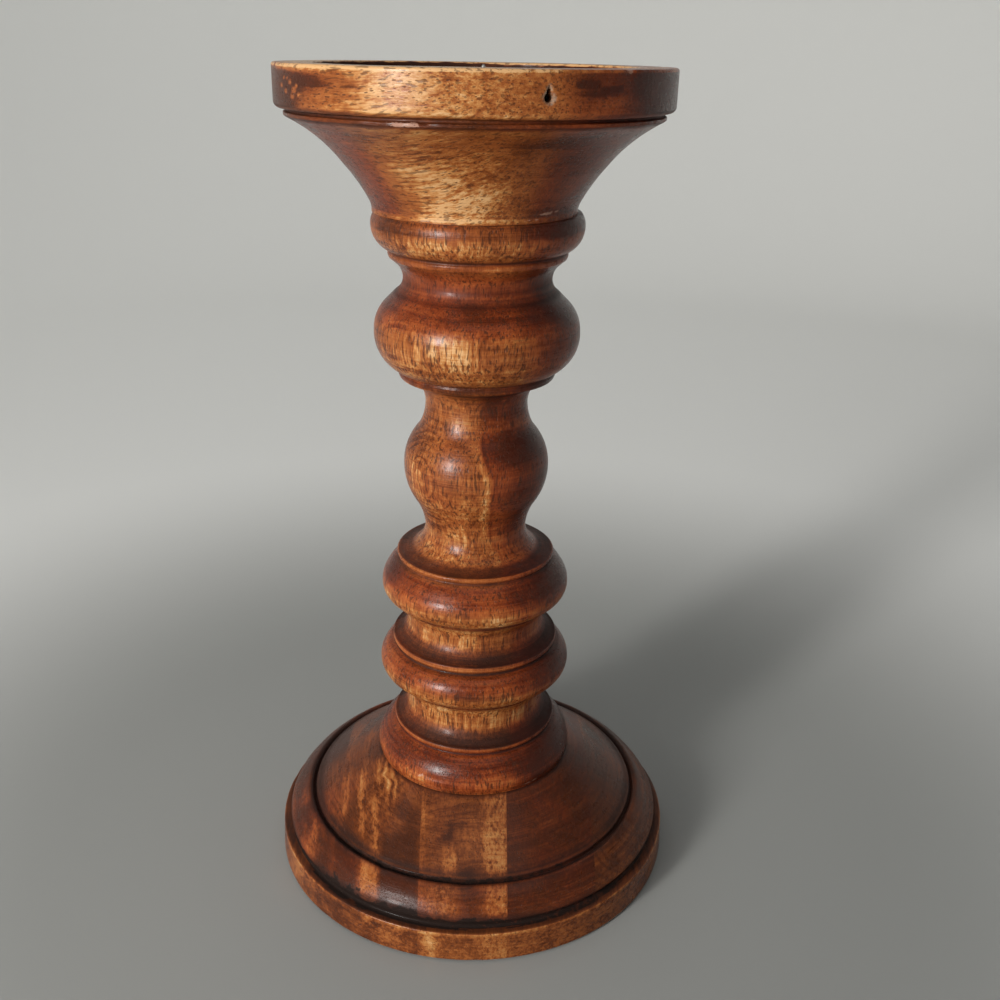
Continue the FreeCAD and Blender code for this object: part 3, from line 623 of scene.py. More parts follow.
for _ in range(70):  # rubbed and stained places all round
    amount, wide, high = rng.uniform(-0.13, 0.15), rng.uniform(3.5, 13), rng.uniform(1.0, 4)
    tone += amount * bell(turn_gap(angle, rng.uniform(-180, 180)), 0, wide) * bell(z, rng.uniform(36, 200), high)
# stain together with painted shade: the coves, the collar tops under the rings, the lines under the fillets and the
# foot of the vase are darkened where shade falls; the joint under the cup is a dark joint
stain_and_shade = rise(hollow, 0.46, 1.0)
stain_and_shade = np.maximum(stain_and_shade, 1.0 * band_of(z, 46.6, 48.8, 0.25))
stain_and_shade = np.maximum(stain_and_shade, 0.80 * (1 - rise(z, 48.8, 52.6)) * (z > 47.2))
stain_and_shade = np.maximum(stain_and_shade, 0.95 * band_of(z, 74.9, 77.0, 0.25))
stain_and_shade = np.maximum(stain_and_shade, 0.70 * (1 - rise(z, 76.8, 80.2)) * (z > 75.5))
stain_and_shade = np.maximum(stain_and_shade, 0.62 * band_of(z, 59.4, 61.7, 0.3))
stain_and_shade = np.maximum(stain_and_shade, 0.72 * band_of(z, 86.3, 88.5, 0.3))
stain_and_shade = np.maximum(stain_and_shade, 0.74 * (z > 102.9) * (z < 106) * (1 - rise(z, 104.0, 105.3)) * (r < 23.3))
stain_and_shade = np.maximum(stain_and_shade, 0.60 * band_of(z, 155.2, 157.0, 0.3))
stain_and_shade = np.maximum(stain_and_shade, 0.55 * band_of(z, 180.9, 183.2, 0.5))
stain_and_shade = np.maximum(stain_and_shade, 0.52 * band_of(z, 192.3, 193.6, 0.3))
for low, high in ((44.5, 45.2), (72.3, 73.1), (101.1, 101.9)):
    stain_and_shade = np.maximum(stain_and_shade, 0.75 * band_of(z, low, high, 0.15))
joint = (r > 26) * (0.10 + 0.35 * np.sin(np.radians(angle) * 7 + 1.0) ** 2)
stain_and_shade = np.maximum(stain_and_shade, joint * bell(z, 203.0, 0.20))
shadow_side = rise(angle, 22, 48) * (1 - rise(angle, 100, 130))
store(stem, "tone", tone + 0.035 * shadow_side)
# painted shade: this darkening is weaker on the lit left and stronger on the right, away from the key light
stain_and_shade *= np.where(np.abs(angle) < 100, 0.76 + 0.24 * rise(angle, -45, 25), 0.92)
store(stem, "stain_and_shade", np.clip(stain_and_shade, 0, 1))
store(stem, "worn", rise(-hollow, 0.34, 0.80) * (1 - 0.45 * np.clip(fillets, 0, 1)))
store(stem, "plain", np.clip(fillets, 0, 1))
# the upward-facing halves of the beads are painted redder: stain together with painted reflection of a dark ceiling
store(stem, "red", np.clip(-0.10 + 0.45 * bead * rise(upward, -0.2, 0.5) + 0.45 * band_of(z, 34, 46, 1)
                           + 0.35 * band_of(z, 174, 190, 2) + 0.35 * dark_side + 0.30 * shadow_side + 0.12 * np.clip(fillets, 0, 1) + 0.20, 0, 1))
scuff = 0.70 * bell(turn_gap(angle, 32), 0, 9) * bell(z - 0.02 * (angle - 32), 34.9, 0.22)
scuff += 0.60 * bell(turn_gap(angle, -31), 0, 5) * bell(z + 0.5 * np.sin(np.radians(angle) * 60), 37.6, 0.45)
scuff += 0.50 * bell(turn_gap(angle, 62), 0, 3) * bell(z, 35.2, 0.3) + 0.5 * bell(turn_gap(angle, -150), 0, 12) * bell(z, 34.8, 0.22)
store(stem, "chip", np.clip(scuff, 0, 1))
store(stem, "figure", np.clip(0.15 + 0.9 * bell(turn_gap(angle, -55), 0, 20) * (band_of(z, 112, 146, 4) + 0.7 * band_of(z, 160, 178, 3))
                              + 0.5 * (np.abs(turn_gap(angle, 0)) > 100), 0, 1))

# cup: level grain, gold to the left of the middle, dark at both sides
p = points(cup)
x, y, z = p.T
x = x - CUP_X
r = np.hypot(x, y)
angle = around(x, y)
hollow = layer(cup, "hollow")
rim = rise(z, 229.2, 230.4) * (r > 50)
flare = band_of(z, 204.0, 227.0, 0.6) * (1 - rise(r, 50.4, 50.8))
inside = (r < 42.15) & (z > 228)
far_side = rise(np.abs(angle), 110, 140)
tone = np.zeros(len(p))
# gold figure on the rim band left of the middle, lightened further as a painted highlight where the key light's
# highlight lies
tone += rim * (0.30 * bell(turn_gap(angle, -19), 0, 15) + 0.05 * bell(turn_gap(angle, 5), 0, 9))
tone -= rim * 0.24 * rise(angle, 18, 30) * (1 - far_side)
tone += rim * 0.10 * bell(turn_gap(angle, -46), 0, 8) * (z < 235)
tone -= rim * 0.34 * bell(turn_gap(angle, -46), 0, 8.5) * bell(z, 235.8, 1.9)
tone -= rim * 0.42 * bell(turn_gap(angle, -64), 0, 12) * (1 - 0.6 * bell(z, 239.2, 0.7))
tone += rim * 0.34 * bell(turn_gap(angle, -50), 0, 9) * bell(z, 238.9, 0.6)
for at, high, size in ((-57, 235.6, 0.55), (-55, 234.0, 0.6), (-60, 233.6, 0.5), (-53.5, 235.0, 0.4), (-58.5, 236.4, 0.35),
                       (-56, 232.6, 0.5), (-63, 234.8, 0.45), (-52, 233.0, 0.4), (-61, 236.6, 0.3)):
    tone += rim * 0.55 * bell(turn_gap(angle, at) * 0.91, 0, size) * bell(z, high, size * 0.8)
tone -= rim * 0.55 * band_of(angle, 26, 32, 1.0) * bell(z + 0.05 * (angle - 29), 236.6, 0.45)
tone -= rim * 0.45 * band_of(angle, 33, 40, 1.0) * bell(z - 0.04 * (angle - 36), 235.6, 0.40)
tone -= rim * 0.26 * bell(turn_gap(angle, 33), 0, 4) * bell(z, 234.6, 0.5)
tone -= rim * 0.14 * bell(turn_gap(angle, 52), 0, 7)
tone += rim * 0.10 * bell(turn_gap(angle, 44), 0, 5) * bell(z, 232.5, 1.2)
tone += flare * 0.10 * bell(turn_gap(angle, -8), 0, 26)
tone += flare * 0.15 * bell(turn_gap(angle, -14), 0, 25) * (1 - rise(z, 210, 219))
tone += flare * 0.10 * bell(turn_gap(angle, -20), 0, 20) * rise(z, 211, 217)
tone -= flare * 0.10 * bell(turn_gap(angle, -26), 0, 10) * bell(z, 223.5, 1.6)
tone -= flare * 0.25 * rise(angle, 12, 36) * (1 - far_side)
tone -= flare * 0.26 * rise(-angle, 31, 44) * (1 - far_side)
tone -= flare * 0.16 * bell(turn_gap(angle, 14), 0, 6) * bell(z, 221.5, 2.0)
tone -= flare * 0.10 * bell(turn_gap(angle, 4), 0, 5) * bell(z, 225.0, 1.2)
tone -= flare * 0.16 * bell(turn_gap(angle, -34), 0, 5) * bell(z, 209.0, 2.2)
rng = np.random.default_rng(19)
for _ in range(18):
    amount, wide, high = rng.uniform(-0.16, 0.14), rng.uniform(5, 14), rng.uniform(1.2, 3.5)
    tone += amount * bell(turn_gap(angle, rng.uniform(-180, 180)), 0, wide) * bell(z, rng.uniform(206, 239), high) * (r > 42)
tone -= 0.24 * band_of(z, 226.9, 228.4, 0.25) * (r > 48.6)
# the rim top and its rounded edge are painted paler, brighter on the lit left: worn wood together with a painted
# highlight along the edge
rim_top = (z > 239.1) * (r > 42.1)
tone += 0.29 * rim_top * (0.62 + 0.38 * rise(-x, -30, 20)) * (1 + 0.20 * far_side)
rng = np.random.default_rng(83)
for _ in range(22):  # where hands and candles have rubbed it, or stain has stayed
    tone += rim_top * rng.uniform(-0.20, 0.10) * bell(turn_gap(angle, rng.uniform(-180, 180)), 0, rng.uniform(3, 11)) * bell(r, rng.uniform(42, 52), rng.uniform(2, 6))
tone -= rim_top * 0.10 * rise(r, 50.0, 51.6) * far_side
tone -= rim * 0.14 * rise(np.abs(angle + 6), 58, 72) * (1 - far_side) * (z < 239.0)
tone += 0.20 * band_of(z, 203.2, 204.4, 0.25) * (r < 29) * (r > 27) * bell(turn_gap(angle, -10), 0, 45)
# stain together with painted shade: the hollows, the groove under the rim band and the underside of the band are
# darkened, more at the sides than at the front
stain_and_shade = 0.8 * rise(hollow, 0.45, 0.95) * (0.45 + 0.55 * rise(np.abs(turn_gap(angle, -2)), 18, 40))
groove = band_of(z, 228.25, 229.2, 0.2) * (r > 48.5) * (r < 51.8)
stain_and_shade = np.maximum(stain_and_shade, groove * (1.0 - 0.55 * bell(turn_gap(angle, -2), 0, 22)))
stain_and_shade = np.maximum(stain_and_shade, 0.5 * band_of(z, 229.0, 230.2, 0.3) * (r > 49.3) * rise(np.abs(turn_gap(angle, 0)), 15, 40))
stain_and_shade = np.maximum(stain_and_shade, 0.55 * band_of(z, 226.6, 227.4, 0.3) * (r > 48.6) * (0.5 + 0.5 * np.sin(np.radians(angle) * 9) ** 2))
# inside the candle recess the wall is painted dark, stain together with painted shade, up to this height and pale above
# it: rubbed near the lip, with painted light reaching lower on the right where the key light falls on the far wall; the
# recess floor is painted darker towards its wall
rubbed_and_lit_from = 239.62 - 0.38 * rise(x, -8, 12) + 0.10 * np.sin(np.radians(angle) * 23) + 0.07 * np.sin(np.radians(angle) * 51)
stain_and_shade = np.maximum(stain_and_shade, np.where(inside, 0.97 * (1 - rise(z, rubbed_and_lit_from - 0.12, rubbed_and_lit_from + 0.12)), 0))
stain_and_shade = np.where(inside & (z < 229.3), 0.55 + 0.35 * rise(r, 36, 41), stain_and_shade)
shadow_side = rise(angle, 22, 48) * (1 - rise(angle, 100, 130))
store(cup, "tone", np.where(inside, -0.10 + 0.50 * rise(z, rubbed_and_lit_from - 0.12, rubbed_and_lit_from + 0.12), tone + 0.03 * shadow_side * (r < 50)))
store(cup, "stain_and_shade", np.clip(stain_and_shade, 0, 1))
store(cup, "worn", rise(-hollow, 0.55, 1.25) * np.where((z > 226.5) & (z < 229), 0.15, 1.0))
store(cup, "red", np.clip(0.35 * rise(angle, 8, 40) * (1 - far_side) + 0.3 * shadow_side + 0.5 * flare * rise(-angle, 36, 50) + 0.10 * band_of(z, 226.5, 229, 0.4), 0, 1))
store(cup, "figure", np.full(len(p), 0.35))
store(cup, "plain", 0.8 * band_of(z, 226.9, 228.4, 0.25) * (r > 48.6))
off = turn_gap(angle, HOLE_AT) * math.pi / 180 * 52.25
around_hole = np.minimum(np.hypot(off, z - HOLE_Z) / 0.95, np.hypot((off + 0.05) / 0.50, (z - HOLE_Z - 0.95) / 1.05)) * (r > 49) + 99 * (r <= 49)
store(cup, "hole", 1 - rise(around_hole, 0.70, 1.0))
store(cup, "halo", rise(around_hole, 0.8, 1.1) * (1 - rise(around_hole, 1.4, 2.0)))
chip = 0.58 * bell(turn_gap(angle, -19), 0, 6.5) * band_of(z, 227.1, 228.3, 0.25) * (r > 48.8)
chip += bell(turn_gap(angle, 43.0), 0, 0.8) * bell(z, 239.4, 0.5) * (r > 50)
low_edge = (z < 207.5) * (r > 26)
chip += low_edge * (0.75 * bell(turn_gap(angle, 40), 0, 9) * bell(z - 0.035 * (angle - 40), 205.3, 0.30)
                    + 0.62 * bell(turn_gap(angle, 30), 0, 6) * bell(z, 203.9, 0.25)
                    + 0.58 * bell(turn_gap(angle, -22), 0, 16) * bell(z, 203.7 + 0.25 * np.sin(np.radians(angle) * 16), 0.22)
                    + 0.50 * bell(turn_gap(angle, 150), 0, 20) * bell(z, 203.9, 0.25))
store(cup, "chip", np.clip(chip, 0, 1))


# ---------------------------------------------------------------------------
# Materials
# ---------------------------------------------------------------------------
class Net:
    """Short names for building one material's node tree."""

    def __init__(self, name):
        self.mat = bpy.data.materials.new(name)
        self.mat.use_nodes = True
        self.tree = self.mat.node_tree
        self.tree.nodes.clear()
        self.out = self.tree.nodes.new("ShaderNodeOutputMaterial")
        self.bsdf = self.tree.nodes.new("ShaderNodeBsdfPrincipled")
        self.tree.links.new(self.bsdf.outputs["BSDF"], self.out.inputs["Surface"])

    def put(self, socket, value):
        if isinstance(value, bpy.types.NodeSocket):
            self.tree.links.new(value, socket)
        elif value is not None:
            socket.default_value = value

    def math(self, op, a, b=None, c=None, clamp=False):
        n = self.tree.nodes.new("ShaderNodeMath")
        n.operation, n.use_clamp = op, clamp
        for socket, value in zip(n.inputs, (a, b, c)):
            self.put(socket, value)
        return n.outputs[0]

    def add(self, *terms):
        total = terms[0]
        for t in terms[1:]:
            total = self.math("ADD", total, t)
        return total

    def mul(self, a, b):
        return self.math("MULTIPLY", a, b)

    def vec(self, op, a, b=None, scale=None):
        n = self.tree.nodes.new("ShaderNodeVectorMath")
        n.operation = op
        self.put(n.inputs[0], a)
        if b is not None:
            self.put(n.inputs[1], b)
        if scale is not None:
            self.put(n.inputs["Scale"], scale)
        return n.outputs["Value"] if op in ("DOT_PRODUCT", "LENGTH") else n.outputs["Vector"]

    def xyz(self, x, y, z):
        n = self.tree.nodes.new("ShaderNodeCombineXYZ")
        for socket, value in zip(n.inputs, (x, y, z)):
            self.put(socket, value)
        return n.outputs[0]

    def noise(self, vector, detail=2.0, rough=0.5, scale=1.0, distort=0.0, dims="3D"):
        n = self.tree.nodes.new("ShaderNodeTexNoise")
        n.noise_dimensions = dims
        self.put(n.inputs["Vector"], vector)
        n.inputs["Scale"].default_value = scale
        n.inputs["Detail"].default_value = detail
        n.inputs["Roughness"].default_value = rough
        n.inputs["Distortion"].default_value = distort
        return n.outputs["Fac"]

    def cells(self, vector, random=1.0):
        n = self.tree.nodes.new("ShaderNodeTexVoronoi")
        n.feature = "F1"
        self.put(n.inputs["Vector"], vector)
        n.inputs["Scale"].default_value = 1.0
        n.inputs["Randomness"].default_value = random
        return n.outputs["Distance"], n.outputs["Color"]

    def span(self, x, lo, hi, out_lo=0.0, out_hi=1.0, smooth=True):
        n = self.tree.nodes.new("ShaderNodeMapRange")
        n.interpolation_type = "SMOOTHSTEP" if smooth else "LINEAR"
        for key, value in (("Value", x), ("From Min", lo), ("From Max", hi), ("To Min", out_lo), ("To Max", out_hi)):
            self.put(n.inputs[key], value)
        return n.outputs["Result"]

    def mix(self, fac, a, b, blend="MIX"):
        n = self.tree.nodes.new("ShaderNodeMix")
        n.data_type, n.blend_type = "RGBA", blend
        self.put(n.inputs[0], fac)
        self.put(n.inputs[6], a)
        self.put(n.inputs[7], b)
        return n.outputs[2]

    def ramp(self, fac, stops, smooth=False):
        n = self.tree.nodes.new("ShaderNodeValToRGB")
        n.color_ramp.interpolation = "EASE" if smooth else "LINEAR"
        while len(n.color_ramp.elements) < len(stops):
            n.color_ramp.elements.new(0.5)
        for e, (at, colour) in zip(n.color_ramp.elements, stops):
            e.position, e.color = at, (*colour, 1)
        self.put(n.inputs[0], fac)
        return n.outputs["Color"]

    def attr(self, name):
        n = self.tree.nodes.new("ShaderNodeAttribute")
        n.attribute_type, n.attribute_name = "GEOMETRY", name
        return n.outputs["Fac"]


WOOD = [
    (0.00, (0.011, 0.0045, 0.0030)), (0.16, (0.042, 0.0125, 0.0058)), (0.34, (0.120, 0.0305, 0.0085)),
    (0.52, (0.248, 0.070, 0.0175)), (0.68, (0.350, 0.117, 0.0300)), (0.84, (0.475, 0.209, 0.064)),
    (1.00, (0.655, 0.378, 0.170)),
]
RED_WOOD = [
    (0.00, (0.012, 0.0040, 0.0030)), (0.16, (0.050, 0.0100, 0.0050)), (0.34, (0.142, 0.0245, 0.0070)),
    (0.52, (0.258, 0.053, 0.0135)), (0.68, (0.368, 0.094, 0.0230)), (0.84, (0.475, 0.172, 0.048)),
    (1.00, (0.610, 0.320, 0.130)),
]


def wood(name, grain, face, seed, level, ring_far=80.0, ring_gap=1.35, ring_amount=0.10, streak=0.20,
         fibre=0.20, blotch=0.30, pore=0.86, pore_cell=0.85, pore_long=2.8, pore_size=0.29, lathe=0.14,
         dashes=0.75, scratches=0.30, shift=(0, 0, 0), extras=False):
    """Stained, waxed hardwood cut from one solid block.

    grain is the direction of the fibres and face the direction across the growth
    rings; everything is laid out in millimetres in the block, so that long grain
    shows dashes and end grain shows dots wherever the turning cuts it.
    """
    n = Net(name)
    tc = n.tree.nodes.new("ShaderNodeTexCoord")
    spot = n.vec("SCALE", tc.outputs["Object"], scale=1000.0)
    place = n.vec("ADD", spot, tuple(float(v) for v in shift))
    g = np.array(grain, float) / np.linalg.norm(grain)
    a = np.array(face, float) - g * np.dot(face, g)
    a /= np.linalg.norm(a)
    b = np.cross(g, a)
    ca, cb, cg = (n.vec("DOT_PRODUCT", place, tuple(float(v) for v in d)) for d in (a, b, g))
    # the fibres wander a little along their length
    sway = n.noise(n.xyz(n.mul(ca, 0.045), n.mul(cb, 0.045), n.mul(cg, 0.022)), 2.0)
    sway2 = n.noise(n.xyz(n.mul(cb, 0.05), n.mul(cg, 0.025), n.mul(ca, 0.05)), 2.0)
    ca = n.add(ca, n.mul(n.add(sway, -0.5), 5.0))
    cb = n.add(cb, n.mul(n.add(sway2, -0.5), 5.0))
    # growth rings: thin dark lines, unevenly spaced
    far = n.math("SQRT", n.add(n.math("POWER", n.add(ca, ring_far), 2.0), n.math("POWER", cb, 2.0)))
    uneven = n.noise(n.xyz(n.mul(far, 0.34), n.mul(cg, 0.015), float(seed)), 3.0, 0.7)
    phase = n.add(n.mul(far, 1.0 / ring_gap), n.mul(uneven, 5.0))
    saw = n.math("FRACT", phase)
    ring = n.math("MULTIPLY", n.span(saw, 0.35, 0.93), n.span(saw, 1.0, 0.93))
    ring_strength = n.mul(n.attr("figure"), n.span(n.noise(n.xyz(n.mul(ca, 0.15), n.mul(cb, 0.15), n.add(n.mul(cg, 0.05), seed * 3.1)), 2.0), 0.38, 0.62, 0.2, 1.0))
    # streaks and fibres
    broad = n.noise(n.xyz(n.mul(ca, 0.19), n.mul(cb, 0.19), n.add(n.mul(cg, 0.016), seed * 1.7)), 3.0, 0.55)
    thin = n.noise(n.xyz(n.mul(ca, 1.15), n.mul(cb, 1.15), n.add(n.mul(cg, 0.10), seed * 0.9)), 4.0, 0.62)
    hair = n.noise(n.xyz(n.mul(ca, 3.0), n.mul(cb, 3.0), n.mul(cg, 0.36)), 3.0, 0.65)
    dash = n.noise(n.xyz(n.mul(ca, 1.45), n.mul(cb, 1.45), n.add(n.mul(cg, 0.25), seed * 5.0)), 1.5, 0.5)
    # stain that took unevenly, whatever the grain
    cloud = n.noise(n.vec("SCALE", place, scale=0.075), 4.0, 0.60)
    fleck = n.noise(n.vec("SCALE", place, scale=0.55), 3.0, 0.6)
    # pores: long thin cells, with a few missing
    wide, long = 1.0 / pore_cell, 1.0 / pore_long
    cell, _ = n.cells(n.xyz(n.mul(ca, wide), n.mul(cb, wide), n.add(n.mul(cg, long), seed)))
    cell2, _ = n.cells(n.xyz(n.mul(ca, wide * 1.7), n.mul(cb, wide * 1.7), n.add(n.mul(cg, long * 1.5), seed * 2.0)))
    some = n.span(n.noise(n.xyz(n.mul(ca, 0.25), n.mul(cb, 0.25), n.mul(cg, 0.05)), 2.0), 0.36, 0.56, 0.35, 1.0)
    big = n.mul(n.span(cell, pore_size, pore_size * 0.55), some)
    small = n.mul(n.span(cell2, pore_size * 0.9, pore_size * 0.45), n.mul(some, 0.55))
    pores = n.math("MAXIMUM", big, small)
    plain = n.attr("plain")
    ticks = n.mul(n.span(dash, 0.575, 0.640), n.mul(n.math("SUBTRACT", 1.0, plain), dashes))
    # turning marks run round the axis, in broken arcs
    sep = n.tree.nodes.new("ShaderNodeSeparateXYZ")
    n.put(sep.inputs[0], spot)
    rad = n.vec("LENGTH", n.vec("MULTIPLY", spot, (1.0, 1.0, 0.0)))
    arcs = n.noise(n.vec("SCALE", place, scale=0.085), 2.0)
    marks = n.noise(n.xyz(n.mul(rad, 2.3), n.mul(sep.outputs["Z"], 2.3), n.add(n.mul(arcs, 7.0), float(seed))), 3.0, 0.6)
    slow = n.noise(n.xyz(n.mul(rad, 0.75), n.mul(sep.outputs["Z"], 0.75), n.add(n.mul(arcs, 3.0), seed + 4.0)), 2.0, 0.5)
    seen = n.span(n.noise(n.vec("SCALE", place, scale=0.12), 2.0), 0.40, 0.60, 0.25, 1.0)
    scratch = n.mul(n.mul(n.span(marks, 0.56, 0.66), seen), scratches)
    turning = n.add(n.mul(n.mul(n.add(marks, -0.5), seen), 2.6), n.mul(n.add(slow, -0.5), 1.8))
    # one number from stained black to worn gold, which also carries the painted highlights in the tone values; the
    # edges of every patch fray along the grain
    local = n.attr("tone")
    size = n.math("ABSOLUTE", local)
    fray = n.span(n.add(n.mul(size, 2.4), n.mul(n.add(thin, -0.5), 2.2), n.mul(n.add(broad, -0.5), 1.0), n.mul(n.add(fleck, -0.5), 0.8)), 0.05, 0.60)
    level_now = n.add(
        float(level),
        n.mul(n.mul(ring, ring_strength), -ring_amount * 1.9),
        n.mul(n.add(broad, -0.5), streak * 2.2),
        n.mul(n.mul(n.add(thin, -0.5), n.math("SUBTRACT", 1.0, n.mul(plain, 0.7))), fibre * 2.6),
        n.mul(n.add(hair, -0.5), fibre * 2.0),
        n.mul(n.add(cloud, -0.5), blotch * 2.0),
        n.mul(n.add(fleck, -0.5), blotch * 1.0),
        n.mul(turning, lathe),
        n.mul(local, n.add(0.30, n.mul(fray, 0.95))),
    )
    worn = n.mul(n.attr("worn"), n.span(n.add(n.mul(fleck, 0.35), n.mul(cloud, 0.65)), 0.38, 0.60, 0.25, 1.0))
    level_now = n.add(level_now, n.mul(worn, 0.24))
    # stain and painted shade from the vertices darken the wood, frayed at the edges
    stain_and_shade = n.attr("stain_and_shade")
    stain_and_shade_edge = n.math("MULTIPLY", stain_and_shade, n.span(n.add(n.mul(fleck, 0.5), n.mul(marks, 0.5)), 0.36, 0.58, 0.78, 1.16), clamp=True)
    level_now = n.math("SMOOTH_MAX", level_now, 0.19, 0.22)
    level_now = n.math("MULTIPLY", level_now, n.math("SUBTRACT", 1.0, n.mul(stain_and_shade_edge, 0.76)))
    level_now = n.math("MAXIMUM", level_now, 0.02)
    redness = n.span(n.add(n.mul(cloud, 0.8), n.attr("red"), n.mul(fleck, 0.25)), 0.45, 1.15)
    colour = n.mix(redness, n.ramp(level_now, WOOD), n.ramp(level_now, RED_WOOD))
    lines = n.math("MAXIMUM", n.mul(n.mul(pores, n.math("SUBTRACT", 1.0, n.mul(plain, 0.8))), pore), n.math("MAXIMUM", ticks, scratch))
    pore_dark = n.mul(lines, n.math("SUBTRACT", 1.0, n.mul(stain_and_shade_edge, 0.5)))
    colour = n.mix(pore_dark, colour, n.mix(0.80, colour, (0.054, 0.0165, 0.0075, 1)))
    height = n.add(n.mul(pores, -0.07), n.mul(ticks, -0.014), n.mul(n.add(thin, -0.5), 0.050), n.mul(n.add(hair, -0.5), 0.020),
                   n.mul(turning, 0.022), n.mul(n.add(fleck, -0.5), 0.040))
    gloss = n.add(0.300, n.mul(pores, 0.22), n.mul(n.add(cloud, -0.5), 0.22), n.mul(n.add(fleck, -0.5), 0.20),
                  n.mul(stain_and_shade, 0.44), n.mul(turning, 0.05), n.mul(plain, -0.01))
    if name.startswith("base"):
        packed = n.span(n.add(n.attr("packed"), n.mul(n.add(fleck, -0.5), 1.5), n.mul(n.add(thin, -0.5), 1.1)), 0.44, 0.70)
        colour = n.mix(n.mul(packed, 0.90), colour, (0.0115, 0.0060, 0.0042, 1))
        gloss = n.add(gloss, n.mul(packed, 0.25))
    if extras:
        hole, halo, chip = n.attr("hole"), n.attr("halo"), n.attr("chip")
        colour = n.mix(n.mul(halo, n.span(fleck, 0.40, 0.58, 0.15, 0.75)), colour, (0.300, 0.225, 0.165, 1))
        colour = n.mix(hole, colour, (0.006, 0.004, 0.003, 1))
        raw = n.span(n.add(n.mul(chip, 1.0), n.mul(n.add(fleck, -0.5), 1.3), n.mul(n.add(thin, -0.5), 1.0)), 0.46, 0.64)
        colour = n.mix(n.mul(raw, 0.72), colour, (0.470, 0.265, 0.190, 1))
        gloss = n.add(gloss, n.mul(hole, 0.3), n.mul(raw, 0.25))
    n.put(n.bsdf.inputs["Base Color"], colour)
    n.put(n.bsdf.inputs["Roughness"], n.math("MINIMUM", n.math("MAXIMUM", gloss, 0.2), 0.85))
    bump = n.tree.nodes.new("ShaderNodeBump")
    bump.inputs["Strength"].default_value = 1.0
    bump.inputs["Distance"].default_value = 0.001
    n.put(bump.inputs["Height"], height)
    n.put(n.bsdf.inputs["Normal"], bump.outputs["Normal"])
    n.bsdf.inputs["IOR"].default_value = 1.46
    n.bsdf.inputs["Specular IOR Level"].default_value = 0.20
    n.bsdf.inputs["Coat Weight"].default_value = 0.08
    n.bsdf.inputs["Coat Roughness"].default_value = 0.16
    return n.mat


board_looks = [
    dict(seed=3, level=0.34, face=(0.5, 0, 0.87), streak=0.22, shift=(0, 13, 0), fibre=0.12, dashes=0.45),
    dict(seed=7, level=0.355, face=(0.3, 0, 0.95), streak=0.18, blotch=0.24, shift=(31, 57, 9), fibre=0.12, dashes=0.40),
    dict(seed=13, level=0.44, face=(-0.2, 0, 0.98), streak=0.16, blotch=0.22, shift=(12, -41, 5), fibre=0.12, dashes=0.45),
    dict(seed=19, level=0.355, face=(0.7, 0, 0.7), streak=0.08, shift=(-47, 22, 3), blotch=0.10, ring_amount=0.05, fibre=0.08, lathe=0.22, dashes=0.35),
    dict(seed=23, level=0.335, face=(-0.5, 0, 0.87), streak=0.14, shift=(66, -12, 7), blotch=0.16, fibre=0.12, lathe=0.20, dashes=0.45),
]
for k, (ob, looks) in enumerate(zip(boards, board_looks)):
    ob.data.materials.append(wood("base_wood_%d" % (k + 1), (0, 1, 0.02), ring_gap=2.1, pore_size=0.24, pore_long=2.4, **looks))
lean = math.radians(-48)
stem.data.materials.append(wood("stem_wood", (0.03, 0.02, 1.0), (math.sin(lean), -math.cos(lean), 0), 29, 0.555,
                                ring_far=95.0, ring_gap=1.3, ring_amount=0.14, streak=0.22, fibre=0.26, blotch=0.27, lathe=0.24, extras=True, scratches=0.55, dashes=0.95,
                                pore_cell=0.8, pore_long=3.6, pore_size=0.26))
cup.data.materials.append(wood("cup_wood", (0.857, -0.515, 0.03), (0.25, 0.42, 0.87), 37, 0.57, ring_far=60.0, ring_gap=1.7,
                               ring_amount=0.06, streak=0.16, blotch=0.28, lathe=0.12, extras=True, pore=0.92, pore_cell=0.74, pore_long=2.5, pore_size=0.275, dashes=0.74))


def metal(name, colour, low, high):
    """Drawn steel wire, dulled by handling and wax."""
    n = Net(name)
    tc = n.tree.nodes.new("ShaderNodeTexCoord")
    p = n.vec("SCALE", tc.outputs["Object"], scale=1000.0)
    stretched = n.vec("MULTIPLY", p, (5.0, 5.0, 0.35))
    drawn = n.noise(stretched, 4.0, 0.65)
    spots = n.noise(n.vec("SCALE", p, scale=0.9), 3.0, 0.6)
    dull = n.span(spots, 0.52, 0.70)
    base = n.mix(n.mul(drawn, 0.45), (*colour, 1), (colour[0] * 0.6, colour[1] * 0.58, colour[2] * 0.55, 1))
    n.put(n.bsdf.inputs["Base Color"], n.mix(n.mul(dull, 0.6), base, (0.16, 0.10, 0.06, 1)))
    n.bsdf.inputs["Metallic"].default_value = 1.0
    n.put(n.bsdf.inputs["Roughness"], n.span(n.add(n.mul(drawn, 0.5), n.mul(spots, 0.5)), 0.3, 0.7, low, high))
    bump = n.tree.nodes.new("ShaderNodeBump")
    bump.inputs["Distance"].default_value = 0.001
    n.put(bump.inputs["Height"], n.add(n.mul(drawn, 0.012), n.mul(spots, 0.01)))
    n.put(n.bsdf.inputs["Normal"], bump.outputs["Normal"])
    return n.mat


